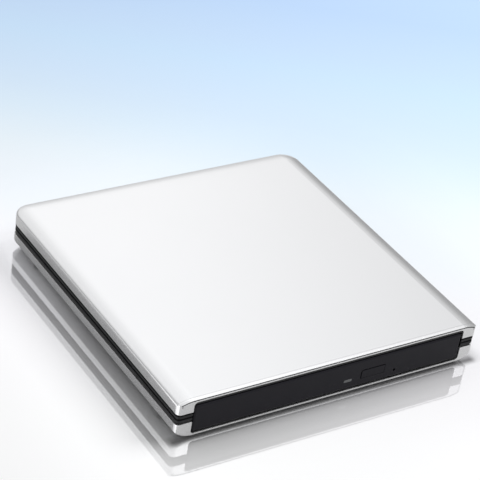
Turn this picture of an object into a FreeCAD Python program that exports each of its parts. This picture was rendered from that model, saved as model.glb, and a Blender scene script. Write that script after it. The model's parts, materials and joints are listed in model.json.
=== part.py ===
import FreeCAD, Part
import math
import os
from FreeCAD import Vector

# External disc drive with a sliding tray, in millimetres.
# X is to the right along the front, Y runs back from the front, Z is up.
# The origin is the middle of the box under the rubber feet.

# Disc that the drive takes
DISC_DIAMETER = 120.0
DISC_HOLE = 15.0
DISC_THICKNESS = 1.2

# Heights inside the drive, from its floor to its lid
SHEET = 0.5
RIBBON_SPACE = 1.1
PLATE_SHEET = 0.4
MECHANISM_HEIGHT = 4.8
TRAY_FLOOR = 1.0
SEAT_LIFT = 1.2
RIM_OVER_DISC = 0.4
LID_GAP = 1.6

# Room round the disc, across and along the drive
WELL_CLEARANCE = 0.6
SIDE_RIM = 2.0
FRONT_RIM = 1.8
REAR_RIM = 1.4
TRAY_SIDE_GAP = 0.9
TRAY_REAR_GAP = 1.2
SMALL_WELL_RADIUS = 40.6
SMALL_WELL_STEP = 0.4

# Outer case
SIDE_ROOM = 7.5
REAR_ROOM = 13.8
DRIVE_STANDOFF = 0.8
LID_ROOM = 2.1
FLOOR_WALL = 1.0
ROOF_WALL = 1.3
SIDE_WALL = 1.3
FRONT_CORNER_RADIUS = 2.0
REAR_CORNER_RADIUS = 8.0
EDGE_ROUNDING = 1.4
ROLL_WIDTH = 7.0
ROLL_SLOPE = 25.0
FRONT_LIP = 1.1
LIP_ROUNDING = 2.4
UNDERSIDE_RADIUS = 10.7
UNDERSIDE_INSET = 8.0
LOW_LIP_ROUNDING = 0.8
GROOVE_WIDTH = 0.45
GROOVE_DEPTH = 0.7
GROOVE_DROP = 0.55
GROOVE_END_GAP = 1.1
GROOVE_HOOK = 1.3
FIT_GAP = 0.1

# Side band between the covers
BAND_BASE = 7.05
BAND_HEIGHT = 4.75
BAND_RECESS = 0.15
BAND_THICKNESS = 2.0
RIB_HEIGHT = 0.4
RIB_WIDTH = 1.05
RIB_ROUNDING = 0.18
TONGUE_HEIGHT = 1.5
TONGUE_THICKNESS = 0.8

# Front opening and bezel
OPENING_SIDE_GAP = 0.5
OPENING_LOW_GAP = 0.62
OPENING_TOP_GAP = 1.75
OPENING_CORNER_RADIUS = 1.6
LINER_DROP = 1.0
LINER_RECESS = 0.15
LINER_LEG = 2.4
BEZEL_RECESS = 0.1
BEZEL_DEPTH = 4.0
BEZEL_PLATE = 2.0
BEZEL_RIM = 1.2
BEZEL_CORNER_RADIUS = 1.2
BEZEL_ROUNDING = 0.9

# Controls in the bezel, from the middle and from the bezel's lower edge
BUTTON_LEFT = 14.2
BUTTON_WIDTH = 11.9
BUTTON_BASE = 3.4
BUTTON_HEIGHT = 4.3
BUTTON_WIDE_GAP = 0.45
BUTTON_NARROW_GAP = 0.15
BUTTON_CORNER_RADIUS = 1.2
BUTTON_FLANGE = 0.6
BUTTON_FLANGE_THICKNESS = 0.7
BUTTON_STEM_WIDTH = 2.4
BUTTON_TRAVEL = 0.5
LIGHT_X = 8.1
LIGHT_RISE = 4.1
LIGHT_WIDTH = 3.7
LIGHT_HEIGHT = 1.2
LIGHT_PIPE = 3.6
RELEASE_HOLE_X = 31.2
RELEASE_HOLE_RISE = 3.3
RELEASE_HOLE_RADIUS = 0.6

# Feet and screws of the case
FOOT_RADIUS = 5.0
FOOT_HEIGHT = 0.8
FOOT_RECESS = 0.4
FOOT_ROUNDING = 0.3
FOOT_INSET_X = 17.5
FOOT_INSET_Y = 16.0
BOSS_RADIUS = 2.3
BOSS_INSET_FRONT = 17.0
BOSS_INSET_REAR = 20.0
CASE_SCREW_RADIUS = 0.95
CASE_SCREW_HEAD_RADIUS = 1.75
CASE_SCREW_HEAD = 1.2
CASE_SCREW_LENGTH = 9.0
CASE_SCREW_DEPTH = 1.6
SCREW_GAP = 0.05
CROSS_WIDTH = 0.4
CROSS_DEPTH = 0.35
CROSS_MARGIN = 0.45
PAD_SIZE = 9.0
PAD_INSET = 20.0

# Drive shell, brackets and small screws
BRACKET_SHEET = 0.8
BRACKET_LENGTH = 16.0
BRACKET_REAR_INSET = 22.0
BRACKET_FOOT_RISE = 2.6
BRACKET_HEIGHT = 6.6
SMALL_SCREW_RADIUS = 0.75
SMALL_SCREW_HEAD_RADIUS = 1.5
SMALL_SCREW_HEAD = 0.6
LID_WALL_DROP = 2.5
LID_SCREW_FRONT_INSET = 24.0
LID_SCREW_REAR_INSET = 14.0
SIDE_SCREW_RISE = 4.5
DISH_RADIUS = 31.0
DISH_RISE = 0.5

# Rails, guides and the tray's side channels
SLIDE_GAP = 0.2
GUIDE_WALL = 0.8
GUIDE_WIDTH = 2.4
GUIDE_FRONT_GAP = 3.8
GUIDE_LENGTH = 114.0
RAIL_WIDTH = 3.3
RAIL_HEIGHT = 3.8
RAIL_NECK = 0.9
RAIL_NECK_STEP = 0.8
RAIL_FRONT_GAP = 1.5
RAIL_REAR_GAP = 0.3
CHANNEL_WALL = 0.8
CHANNEL_LIP = 1.6
CHANNEL_LIP_THICKNESS = 0.7

# Tray underside
PLATE_INSET = 1.9
PLATE_SCREW_INSET = 5.0
PLATE_SCREW_END = 10.9
PLATE_SCREW_REAR = 3.5
POST_RADIUS = 2.0
LATCH_OPENING_LEFT = 24.5
LATCH_OPENING_RIGHT = 37.5
LATCH_OPENING_DEPTH = 18.9

# Notches for the fingers at the front corners of the disc's well
FINGER_RADIUS = 8.0

# Traverse: its local u axis runs from the hub to the front right, v across it
SLED_ANGLE = -50.0
FRAME_LIFT = 0.7
FRAME_SHEET = 0.6
FRAME_REAR = 14.0
FRAME_CORNER = 4.0
FRAME_END_HALF = 8.0
FRAME_EDGE = 2.0
FRAME_END_EDGE = 2.2
EAR_EDGE = 0.6
WINDOW_HALF = 9.7
ROD_RADIUS = 1.0
ROD_SPREAD = 13.5
ROD_CLEARANCE = 0.04
BRACKET_THICKNESS = 1.8
BRACKET_HALF = 1.6
LENS_INNER = 23.0
DATA_MARGIN = 2.0
CARRIAGE_BACK = 8.0
CARRIAGE_FRONT = 4.0
CARRIAGE_HALF = 9.0
SLEEVE_LENGTH = 6.0
SLEEVE_HEIGHT = 2.8
SLEEVE_WALL = 0.8
LENS_HOLDER_HALF = 3.0
LENS_HOLDER_HALF_WIDTH = 4.5
LENS_HOLDER_HEIGHT = 0.9
LENS_HOLDER_GAP = 0.5
LENS_RADIUS = 2.0
LENS_DOME = 0.35
SCREW_V = 18.5
LEAD_RADIUS = 0.9
LEAD_ROOT_RADIUS = 0.6
LEAD_PITCH = 1.5
LEAD_CLEARANCE = 0.09
NUT_LENGTH = 4.0
MOTOR_RADIUS = 1.6
MOTOR_LENGTH = 13.0
COVER_SHEET = 0.3
COVER_LIP = 3.0
COVER_HALF = 10.0
COVER_WINDOW_HALF = 6.0
HUB_OPENING = 17.0
COVER_HUB_GAP = 0.8
DAMPER_RADIUS = 3.0
DAMPER_WAIST = 2.2
DAMPER_FLANGE = 0.6
DAMPER_UPPER = 0.8
DAMPER_PIN_RADIUS = 1.2

# Spindle
PLATTER_RADIUS = 14.5
PLATTER_THICKNESS = 1.2
PAD_RING_WIDTH = 3.5
PAD_RING_THICKNESS = 0.4
PAD_RING_INSET = 0.2
HUB_CLEARANCE = 0.05
HUB_OVER_DISC = 0.4
HUB_CHAMFER = 0.35
CLAW_WIDTH = 3.0
CLAW_NOSE = 0.4
CLAW_HEIGHT = 1.1
CLAW_NOSE_HEIGHT = 0.3
CLAW_INNER = 4.8
CLAW_TRAVEL = 0.6
CLAW_GAP = 0.05
CLAW_COUNT = 3
SKIRT_RADIUS = 13.0
SKIRT_WALL = 0.8
ROTOR_TOP = 0.6
SHAFT_RADIUS = 1.5
STATOR_RADIUS = 11.5
STATOR_BASE = 0.6
POLE_RADIUS = 10.4
POLE_WIDTH = 1.7
POLE_COUNT = 9
SLEEVE_RADIUS = 3.0

# Boards, connectors and the ribbon cable
BOARD_THICKNESS = 0.8
BOARD_LIFT = 1.2
BOARD_SIDE_INSET = 9.5
BOARD_RIGHT = 24.0
BOARD_BEHIND_HUB = 23.5
BOARD_REAR_INSET = 8.0
CHIP_HEIGHT = 1.2
PROCESSOR_SIZE = 14.0
MEMORY_WIDTH = 9.0
MEMORY_DEPTH = 6.0
DRIVER_SIZE = 7.0
REGULATOR_WIDTH = 5.0
REGULATOR_DEPTH = 4.0
CRYSTAL_WIDTH = 4.0
CRYSTAL_DEPTH = 3.0
CONNECTOR_LEFT = 4.0
CONNECTOR_WIDTH = 33.0
CONNECTOR_HEIGHT = 4.5
CONNECTOR_DEPTH = 6.7
CONNECTOR_PROUD = 0.7
CONNECTOR_WALL = 0.7
CONNECTOR_CLEARANCE = 0.2
CONNECTOR_CAVITY = 3.2
CONNECTOR_BOARD_SHEET = 0.4
RIBBON_LEFT = -18.0
RIBBON_WIDTH = 18.0
RIBBON_THICKNESS = 0.15
RIBBON_GAP = 0.1
RIBBON_FOLD_Y = -18.0
RIBBON_END_INSET = 9.3
RIBBON_ROOT_INSET = 6.2
SOCKET_DEPTH = 3.0
SOCKET_HEIGHT = 0.6
TRAY_SOCKET_DEPTH = 2.0
SOCKET_SLOT_GAP = 0.05
BRIDGE_LEFT = -22.0
BRIDGE_RIGHT = 42.0
BRIDGE_GAP = 1.4
RECEPTACLE_DEPTH = 4.0
BRIDGE_DEPTH = 9.8
BRIDGE_THICKNESS = 1.0
INLET_X = -9.0
INLET_WIDTH = 7.7
INLET_HEIGHT = 3.9
INLET_DEPTH = 9.2
INLET_WALL = 0.3
INLET_TONGUE = 0.9
INLET_CUT_GAP = 0.15
BRIDGE_POST_RADIUS = 2.2
BRIDGE_POST_INSET = 3.5

# Front board, solenoid, lock lever and ejector
FRONT_BOARD_LEFT = 3.0
FRONT_BOARD_RIGHT = 24.0
FRONT_BOARD_DEPTH = 6.0
FRONT_BOARD_SHEET = 0.6
FRONT_BOARD_LIFT = 0.1
FRONT_BOARD_GAP = 0.9
SWITCH_WIDTH = 6.0
SWITCH_DEPTH = 3.4
SWITCH_HEIGHT = 3.0
SOLENOID_LEFT = 38.0
SOLENOID_WIDTH = 9.0
SOLENOID_DEPTH = 4.4
SOLENOID_HEIGHT = 4.2
SOLENOID_FRONT_GAP = 1.9
PLUNGER_RADIUS = 0.9
PLUNGER_CLEARANCE = 0.05
PLUNGER_REACH = 5.1
PLUNGER_BORE = 5.0
LEVER_X = 27.5
LEVER_Y_GAP = 6.4
LEVER_SHEET = 0.6
LEVER_LIFT = 0.25
LEVER_EYE_RADIUS = 2.2
LEVER_PIN_RADIUS = 1.0
LEVER_PIN_CLEARANCE = 0.05
LEVER_ARM_WIDTH = 4.0
LEVER_REACH = 11.3
LEVER_HOOK = 6.9
LEVER_HOOK_WIDTH = 1.4
LEVER_TAB_LEFT = 2.2
LEVER_TAB_RIGHT = 5.2
LEVER_TAB_Y = 3.4
LEVER_TAB_HEIGHT = 3.4
LEVER_LUG_LENGTH = 1.9
CATCH_RADIUS = 1.0
CATCH_OFFSET_X = 8.5
CATCH_OFFSET_Y = 6.5
EJECTOR_INSET = 11.5
EJECTOR_WIDTH = 5.6
EJECTOR_LENGTH = 26.3
EJECTOR_WALL = 1.0
EJECTOR_BORE = 1.9
EJECTOR_SHAFT_RADIUS = 1.0
EJECTOR_CLEARANCE = 0.08
EJECTOR_HEAD_RADIUS = 1.8
EJECTOR_HEAD = 1.0
EJECTOR_STROKE = 8.0
EJECTOR_TIP_GAP = 0.5
SPRING_RADIUS = 1.55
SPRING_WIRE = 0.3
SPRING_TURNS = 9

# Heights worked out from the values above
CASE_BOTTOM = FOOT_HEIGHT
FLOOR_TOP = CASE_BOTTOM + FLOOR_WALL
DRIVE_BOTTOM = FLOOR_TOP + DRIVE_STANDOFF
PAN_TOP = DRIVE_BOTTOM + SHEET
PLATE_BOTTOM = PAN_TOP + RIBBON_SPACE
PLATE_TOP = PLATE_BOTTOM + PLATE_SHEET
DECK_BOTTOM = PLATE_TOP + MECHANISM_HEIGHT
WELL_FLOOR = DECK_BOTTOM + TRAY_FLOOR
SMALL_WELL_FLOOR = WELL_FLOOR - SMALL_WELL_STEP
DISC_SEAT = WELL_FLOOR + SEAT_LIFT
DISC_TOP = DISC_SEAT + DISC_THICKNESS
RIM_TOP = DISC_TOP + RIM_OVER_DISC
LID_UNDERSIDE = RIM_TOP + LID_GAP
DRIVE_TOP = LID_UNDERSIDE + SHEET
ROOF_UNDERSIDE = DRIVE_TOP + LID_ROOM
CASE_TOP = ROOF_UNDERSIDE + ROOF_WALL
BAND_LOW = CASE_BOTTOM + BAND_BASE
BAND_TOP = BAND_LOW + BAND_HEIGHT
OPENING_LOW = DRIVE_BOTTOM - OPENING_LOW_GAP
OPENING_TOP = DRIVE_TOP + OPENING_TOP_GAP
GROOVE_Z = CASE_TOP - GROOVE_DROP
ROLL_RADIUS = ROLL_WIDTH / math.sin(math.radians(ROLL_SLOPE))

# Widths worked out from the disc outwards
WELL_RADIUS = DISC_DIAMETER / 2 + WELL_CLEARANCE
LENS_OUTER = DISC_DIAMETER / 2 - DATA_MARGIN
TRAY_HALF = WELL_RADIUS + SIDE_RIM
LID_INNER = TRAY_HALF + TRAY_SIDE_GAP
DRIVE_HALF = LID_INNER + SHEET
PAN_OUTER = LID_INNER - FIT_GAP
PAN_INNER = PAN_OUTER - SHEET
CASE_HALF = DRIVE_HALF + SIDE_ROOM
OPENING_HALF = DRIVE_HALF + OPENING_SIDE_GAP
TONGUE_INNER = SIDE_WALL + FIT_GAP + TONGUE_THICKNESS
BOSS_X = (DRIVE_HALF + CASE_HALF - TONGUE_INNER) / 2

# Places along Y worked out from the disc outwards
TRAY_DEPTH = FRONT_RIM + 2 * WELL_RADIUS + REAR_RIM
CASE_DEPTH = BEZEL_RECESS + BEZEL_DEPTH + TRAY_DEPTH + TRAY_REAR_GAP + SHEET + REAR_ROOM
CASE_FRONT = -CASE_DEPTH / 2
CASE_REAR = CASE_DEPTH / 2
BEZEL_FACE = CASE_FRONT + BEZEL_RECESS
TRAY_FRONT = BEZEL_FACE + BEZEL_DEPTH
HUB_Y = TRAY_FRONT + FRONT_RIM + WELL_RADIUS
TRAY_REAR = TRAY_FRONT + TRAY_DEPTH
PAN_FRONT = TRAY_FRONT + FIT_GAP
PAN_REAR = TRAY_REAR + TRAY_REAR_GAP + SHEET

# Rails and channels
GUIDE_OUTER = PAN_INNER - FIT_GAP
GUIDE_INNER = GUIDE_OUTER - GUIDE_WIDTH
GUIDE_TOP = DECK_BOTTOM - SLIDE_GAP
GUIDE_BOTTOM = PAN_TOP
RAIL_OUTER = GUIDE_OUTER - GUIDE_WALL - SLIDE_GAP
RAIL_INNER = RAIL_OUTER - RAIL_WIDTH
RAIL_MIDDLE = (GUIDE_BOTTOM + GUIDE_TOP) / 2
RAIL_LOW = RAIL_MIDDLE - RAIL_HEIGHT / 2
RAIL_TOP = RAIL_MIDDLE + RAIL_HEIGHT / 2
GUIDE_FRONT = PAN_FRONT + GUIDE_FRONT_GAP
GUIDE_REAR = GUIDE_FRONT + GUIDE_LENGTH
CHANNEL_FACE = RAIL_INNER - SLIDE_GAP
CHANNEL_INNER = CHANNEL_FACE - CHANNEL_WALL

# Traverse
FRAME_BOTTOM = PLATE_TOP + FRAME_LIFT
FRAME_TOP = FRAME_BOTTOM + FRAME_SHEET
CARRIAGE_TOP = DECK_BOTTOM - 1.5 * SLIDE_GAP
ROD_Z = (FRAME_TOP + CARRIAGE_TOP) / 2
WINDOW_START = LENS_INNER - CARRIAGE_BACK - SLIDE_GAP
WINDOW_END = LENS_OUTER + CARRIAGE_FRONT + 2 * SLIDE_GAP
ROD_START = LENS_INNER - CARRIAGE_BACK - BRACKET_THICKNESS - 3 * SLIDE_GAP
ROD_END = LENS_OUTER - CARRIAGE_BACK + SLEEVE_LENGTH + BRACKET_THICKNESS + 2 * SLIDE_GAP
HUB_RADIUS = DISC_HOLE / 2 - HUB_CLEARANCE
HUB_TOP = DISC_TOP + HUB_OVER_DISC
PLATTER_TOP = DISC_SEAT - PAD_RING_THICKNESS
PLATTER_BOTTOM = PLATTER_TOP - PLATTER_THICKNESS


def block(x0, x1, y0, y1, z0, z1):
    low = Vector(min(x0, x1), y0, z0)
    return Part.makeBox(abs(x1 - x0), y1 - y0, z1 - z0, low)


def post(x, y, z0, z1, radius):
    return Part.makeCylinder(radius, z1 - z0, Vector(x, y, z0))


def bar(start, direction, length, radius):
    return Part.makeCylinder(radius, length, start, direction)


def joined(shapes):
    return shapes[0].multiFuse(shapes[1:]).removeSplitter()


def group(shapes):
    return Part.makeCompound(shapes)


def prism(points, z0, z1):
    corners = [Vector(x, y, z0) for x, y in points]
    face = Part.Face(Part.makePolygon(corners + corners[:1]))
    return face.extrude(Vector(0, 0, z1 - z0))


def rounded_face(x0, x1, y0, y1, front_radius, rear_radius):
    """Rectangle in the XY plane with rounded corners, front ones at y0."""
    corners = (
        (x1, y0, -1, 1, front_radius),
        (x1, y1, -1, -1, rear_radius),
        (x0, y1, 1, -1, rear_radius),
        (x0, y0, 1, 1, front_radius),
    )
    half = math.sqrt(0.5)
    arcs = []
    for index, (x, y, inward_x, inward_y, radius) in enumerate(corners):
        centre = Vector(x + inward_x * radius, y + inward_y * radius, 0)
        along_x = Vector(centre.x, y, 0)
        along_y = Vector(x, centre.y, 0)
        middle = centre + Vector(-inward_x * radius * half, -inward_y * radius * half, 0)
        first, last = (along_x, along_y) if index % 2 == 0 else (along_y, along_x)
        arcs.append((first, middle, last))
    edges = []
    for index, (first, middle, last) in enumerate(arcs):
        edges.append(Part.Arc(first, middle, last).toShape())
        following = arcs[(index + 1) % len(arcs)][0]
        edges.append(Part.LineSegment(last, following).toShape())
    return Part.Face(Part.Wire(edges))


def rounded_prism(x0, x1, y0, y1, z0, z1, front_radius, rear_radius):
    face = rounded_face(x0, x1, y0, y1, front_radius, rear_radius)
    face.translate(Vector(0, 0, z0))
    return face.extrude(Vector(0, 0, z1 - z0))


def upright_prism(x0, x1, z0, z1, y0, y1, low_radius, top_radius):
    """Rounded rectangle in the XZ plane, carried from y0 to y1."""
    face = rounded_face(x0, x1, z0, z1, low_radius, top_radius)
    face.rotate(Vector(), Vector(1, 0, 0), 90)
    face.translate(Vector(0, y1, 0))
    return face.extrude(Vector(0, y0 - y1, 0))


def case_prism(inset, z0, z1):
    """The case's outline in plan, drawn in by inset, between two heights."""
    return rounded_prism(
        -CASE_HALF + inset,
        CASE_HALF - inset,
        CASE_FRONT + inset,
        CASE_REAR - inset,
        z0,
        z1,
        FRONT_CORNER_RADIUS - inset if inset < FRONT_CORNER_RADIUS - 0.3 else 0.3,
        REAR_CORNER_RADIUS - inset,
    )


def case_ring(outer_inset, inner_inset, z0, z1):
    return case_prism(outer_inset, z0, z1).cut(case_prism(inner_inset, z0, z1))


def front_opening(depth):
    return upright_prism(
        -OPENING_HALF,
        OPENING_HALF,
        OPENING_LOW,
        OPENING_TOP,
        CASE_FRONT - depth,
        CASE_FRONT + depth,
        OPENING_CORNER_RADIUS,
        OPENING_CORNER_RADIUS,
    )


def at_hub(shape):
    """Moves a shape from the traverse's own u, v axes to its place in the drive."""
    shape.rotate(Vector(), Vector(0, 0, 1), SLED_ANGLE)
    shape.translate(Vector(0, HUB_Y, 0))
    return shape


def edges_at(shape, height):
    """Edges of a shape that lie flat at one height."""
    return [
        edge
        for edge in shape.Edges
        if all(abs(vertex.Z - height) < 1e-6 for vertex in edge.Vertexes)
    ]


def is_wall(face):
    """True for an upright flat face and for an upright round one."""
    if isinstance(face.Surface, Part.Plane):
        return abs(face.Surface.Axis.z) < 1e-6
    return isinstance(face.Surface, Part.Cylinder) and abs(face.Surface.Axis.z) > 0.999


FORM_FRONT = CASE_FRONT - 2 * FRONT_LIP - FRONT_CORNER_RADIUS


def roll_cutters(drop):
    """What the roof's fall takes off at its sides, rear and rear corners, drop below the top."""
    slope = math.radians(ROLL_SLOPE)
    centre = Vector(ROLL_WIDTH, 0, CASE_TOP - drop - ROLL_RADIUS)

    def on_roll(angle):
        return centre + Vector(-ROLL_RADIUS * math.sin(angle), 0, ROLL_RADIUS * math.cos(angle))

    inner = on_roll(0)
    outer = on_roll(1.1 * slope)
    above = CASE_TOP + 1
    rim = Part.makePolygon(
        [outer, Vector(outer.x, 0, above), Vector(inner.x, 0, above), inner]
    )
    arc = Part.Arc(inner, on_roll(slope / 2), outer).toShape()
    section = Part.Face(Part.Wire(rim.Edges + [arc]))
    corner_y = CASE_REAR - REAR_CORNER_RADIUS
    start = FORM_FRONT - FRONT_LIP
    cutters = []
    side = section.copy()
    side.translate(Vector(-CASE_HALF, start, 0))
    side = side.extrude(Vector(0, corner_y - start, 0))
    turned = section.copy()
    turned.translate(Vector(-REAR_CORNER_RADIUS, 0, 0))
    corner = turned.revolve(Vector(), Vector(0, 0, 1), -90)
    corner.translate(Vector(REAR_CORNER_RADIUS - CASE_HALF, corner_y, 0))
    for piece in (side, corner):
        cutters += [piece, piece.mirror(Vector(), Vector(1, 0, 0))]
    rear = section.copy()
    rear.rotate(Vector(), Vector(0, 0, 1), -90)
    half = CASE_HALF - REAR_CORNER_RADIUS
    rear.translate(Vector(-half, CASE_REAR, 0))
    cutters.append(rear.extrude(Vector(2 * half, 0, 0)))
    return cutters


def across_front(section, half):
    """Carries a section in the YZ plane along the straight part of the case's front edge."""
    middle = section.copy()
    middle.translate(Vector(-half, 0, 0))
    return middle.extrude(Vector(2 * half, 0, 0))


def round_ends(section, half, height, start, turn):
    """Carries a section in the YZ plane round both ends of a front edge that bends about height."""
    axis = Vector(half, 0, height)
    turned = section.copy()
    turned.translate(Vector(half, 0, 0))
    turned.rotate(axis, Vector(0, 1, 0), start)
    end = turned.revolve(axis, Vector(0, 1, 0), turn)
    return [end, end.mirror(Vector(), Vector(1, 0, 0))]


def round_roll(section, start, turn):
    """Carries a section round the roof's fall at both ends of its front edge."""
    return round_ends(section, CASE_HALF - ROLL_WIDTH, CASE_TOP - ROLL_RADIUS, start, turn)


def lip_cutters():
    """What the round front lip takes off the roof, also where the roof falls at both ends."""
    lip_front = CASE_FRONT - FRONT_LIP
    front = Vector(0, lip_front, CASE_TOP - LIP_ROUNDING)
    top = Vector(0, lip_front + LIP_ROUNDING, CASE_TOP)
    inward = LIP_ROUNDING * (1 - math.sqrt(0.5))
    middle = Vector(0, lip_front + inward, CASE_TOP - inward)
    above = CASE_TOP + 1
    outside = lip_front - FRONT_LIP
    rim = Part.makePolygon(
        [top, Vector(0, top.y, above), Vector(0, outside, above), Vector(0, outside, front.z), front]
    )
    section = Part.Face(Part.Wire(rim.Edges + [Part.Arc(front, middle, top).toShape()]))
    return [across_front(section, CASE_HALF - ROLL_WIDTH)] + round_roll(section, 0, 1.1 * ROLL_SLOPE)


def upper_form():
    """Outer form of the top cover: a softly crowned roof with a low front lip."""
    raised = rounded_prism(
        -CASE_HALF,
        CASE_HALF,
        FORM_FRONT,
        CASE_REAR,
        BAND_TOP,
        CASE_TOP,
        FRONT_CORNER_RADIUS,
        REAR_CORNER_RADIUS,
    )
    crowned = raised.cut(roll_cutters(0))
    rim = [
        edge
        for face in crowned.Faces
        if is_wall(face)
        for edge in face.Edges
        if edge.BoundBox.ZMin > (BAND_TOP + CASE_TOP) / 2
    ]
    rounded = crowned.makeFillet(EDGE_ROUNDING, rim)
    return rounded.cut(lip_cutters()).common(case_prism(0, BAND_TOP, CASE_TOP))


def lower_form(side_inset, floor_inset):
    """Form of the bottom cover, whose sides and rear curve in to the underside."""
    ball = UNDERSIDE_RADIUS - floor_inset
    half = CASE_HALF - UNDERSIDE_INSET + ball
    rear = CASE_REAR - UNDERSIDE_INSET + ball
    corner = max(REAR_CORNER_RADIUS - UNDERSIDE_INSET + ball, ball + FIT_GAP)
    base = CASE_BOTTOM + floor_inset
    wide = rounded_prism(
        -half,
        half,
        CASE_FRONT - UNDERSIDE_RADIUS,
        rear,
        base,
        BAND_LOW + ball,
        FIT_GAP,
        corner,
    )
    low_edges = [
        edge
        for edge in edges_at(wide, base)
        if max(vertex.Y for vertex in edge.Vertexes) > CASE_FRONT
    ]
    curved = wide.makeFillet(ball, low_edges)
    return curved.common(case_prism(side_inset, base, BAND_LOW))


def low_lip_cutters():
    """What rounds the bottom cover's lower front edge, and its rise at both ends."""
    inner = CASE_FRONT + LOW_LIP_ROUNDING
    high = CASE_BOTTOM + LOW_LIP_ROUNDING
    outside = CASE_FRONT - 1
    below = CASE_BOTTOM - 1
    inward = LOW_LIP_ROUNDING * (1 - math.sqrt(0.5))
    corners = [(CASE_FRONT, high), (outside, high), (outside, below), (inner, below), (inner, CASE_BOTTOM)]
    rim = Part.makePolygon([Vector(0, y, z) for y, z in corners])
    middle = Vector(0, CASE_FRONT + inward, CASE_BOTTOM + inward)
    arc = Part.Arc(Vector(0, inner, CASE_BOTTOM), middle, Vector(0, CASE_FRONT, high)).toShape()
    section = Part.Face(Part.Wire(rim.Edges + [arc]))
    half = CASE_HALF - UNDERSIDE_INSET
    rise = math.degrees(math.asin(UNDERSIDE_INSET / UNDERSIDE_RADIUS))
    ends = round_ends(section, half, CASE_BOTTOM + UNDERSIDE_RADIUS, 0, -1.1 * rise)
    return [across_front(section, half)] + ends


def case_boss_places():
    return [
        (side * BOSS_X, y)
        for side in (-1, 1)
        for y in (CASE_FRONT + BOSS_INSET_FRONT, CASE_REAR - BOSS_INSET_REAR)
    ]


def bracket_places():
    return [(side, PAN_REAR - BRACKET_REAR_INSET - BRACKET_LENGTH) for side in (-1, 1)]


def foot_places():
    return [
        (side * (CASE_HALF - FOOT_INSET_X), end * (CASE_REAR - FOOT_INSET_Y))
        for side in (-1, 1)
        for end in (-1, 1)
    ]


def pad_places():
    return [
        (side * (DRIVE_HALF - PAD_INSET), y)
        for side in (-1, 1)
        for y in (PAN_FRONT + PAD_INSET, PAN_REAR - PAD_INSET)
    ]


def bridge_post_places():
    y = PAN_REAR + BRIDGE_GAP + BRIDGE_DEPTH - BRIDGE_POST_INSET
    return [(BRIDGE_LEFT + BRIDGE_POST_INSET, y), (BRIDGE_RIGHT - BRIDGE_POST_INSET, y)]


SCREW_SEAT = CASE_BOTTOM + FLOOR_WALL + CASE_SCREW_DEPTH
BRIDGE_BOTTOM = BAND_LOW + BAND_HEIGHT / 2 - INLET_HEIGHT / 2 - BRIDGE_THICKNESS
BRIDGE_TOP = BRIDGE_BOTTOM + BRIDGE_THICKNESS
BRIDGE_FRONT = PAN_REAR + BRIDGE_GAP
BRACKET_FOOT = FLOOR_TOP + BRACKET_FOOT_RISE


def groove_section(height):
    """Cut through the front wall's face, down from the groove's top, in the YZ plane."""
    low = GROOVE_Z - height
    outside = CASE_FRONT - 1
    inside = CASE_FRONT + GROOVE_DEPTH
    corners = [(outside, low), (inside, low), (inside, GROOVE_Z), (outside, GROOVE_Z), (outside, low)]
    return Part.Face(Part.makePolygon([Vector(0, y, z) for y, z in corners]))


def groove():
    """Thin seam under the front lip, which follows the roof and turns down at both ends."""
    slot = groove_section(GROOVE_WIDTH)
    end = math.degrees(math.asin((ROLL_WIDTH - GROOVE_END_GAP) / ROLL_RADIUS))
    narrow = math.degrees(GROOVE_WIDTH / ROLL_RADIUS)
    hooks = round_roll(groove_section(GROOVE_HOOK), end - narrow, narrow)
    return [across_front(slot, CASE_HALF - ROLL_WIDTH)] + round_roll(slot, 0, end) + hooks


def top_cover():
    cavity = case_prism(SIDE_WALL, BAND_TOP - 1, ROOF_UNDERSIDE).cut(roll_cutters(ROOF_WALL))
    shell = upper_form().cut(cavity)
    additions = [shell]
    for x, y in case_boss_places():
        additions.append(post(x, y, BAND_LOW + FIT_GAP, ROOF_UNDERSIDE, BOSS_RADIUS))
    for x, y in pad_places():
        half = PAD_SIZE / 2
        additions.append(
            block(x - half, x + half, y - half, y + half, DRIVE_TOP + FIT_GAP, ROOF_UNDERSIDE)
        )
    shell = joined(additions)
    cutters = [front_opening(SIDE_WALL + 1)] + groove()
    pilot = CASE_SCREW_RADIUS + SCREW_GAP
    for x, y in case_boss_places():
        cutters.append(post(x, y, 0, SCREW_SEAT + CASE_SCREW_LENGTH + FIT_GAP, pilot))
    return shell.cut(cutters)


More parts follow.
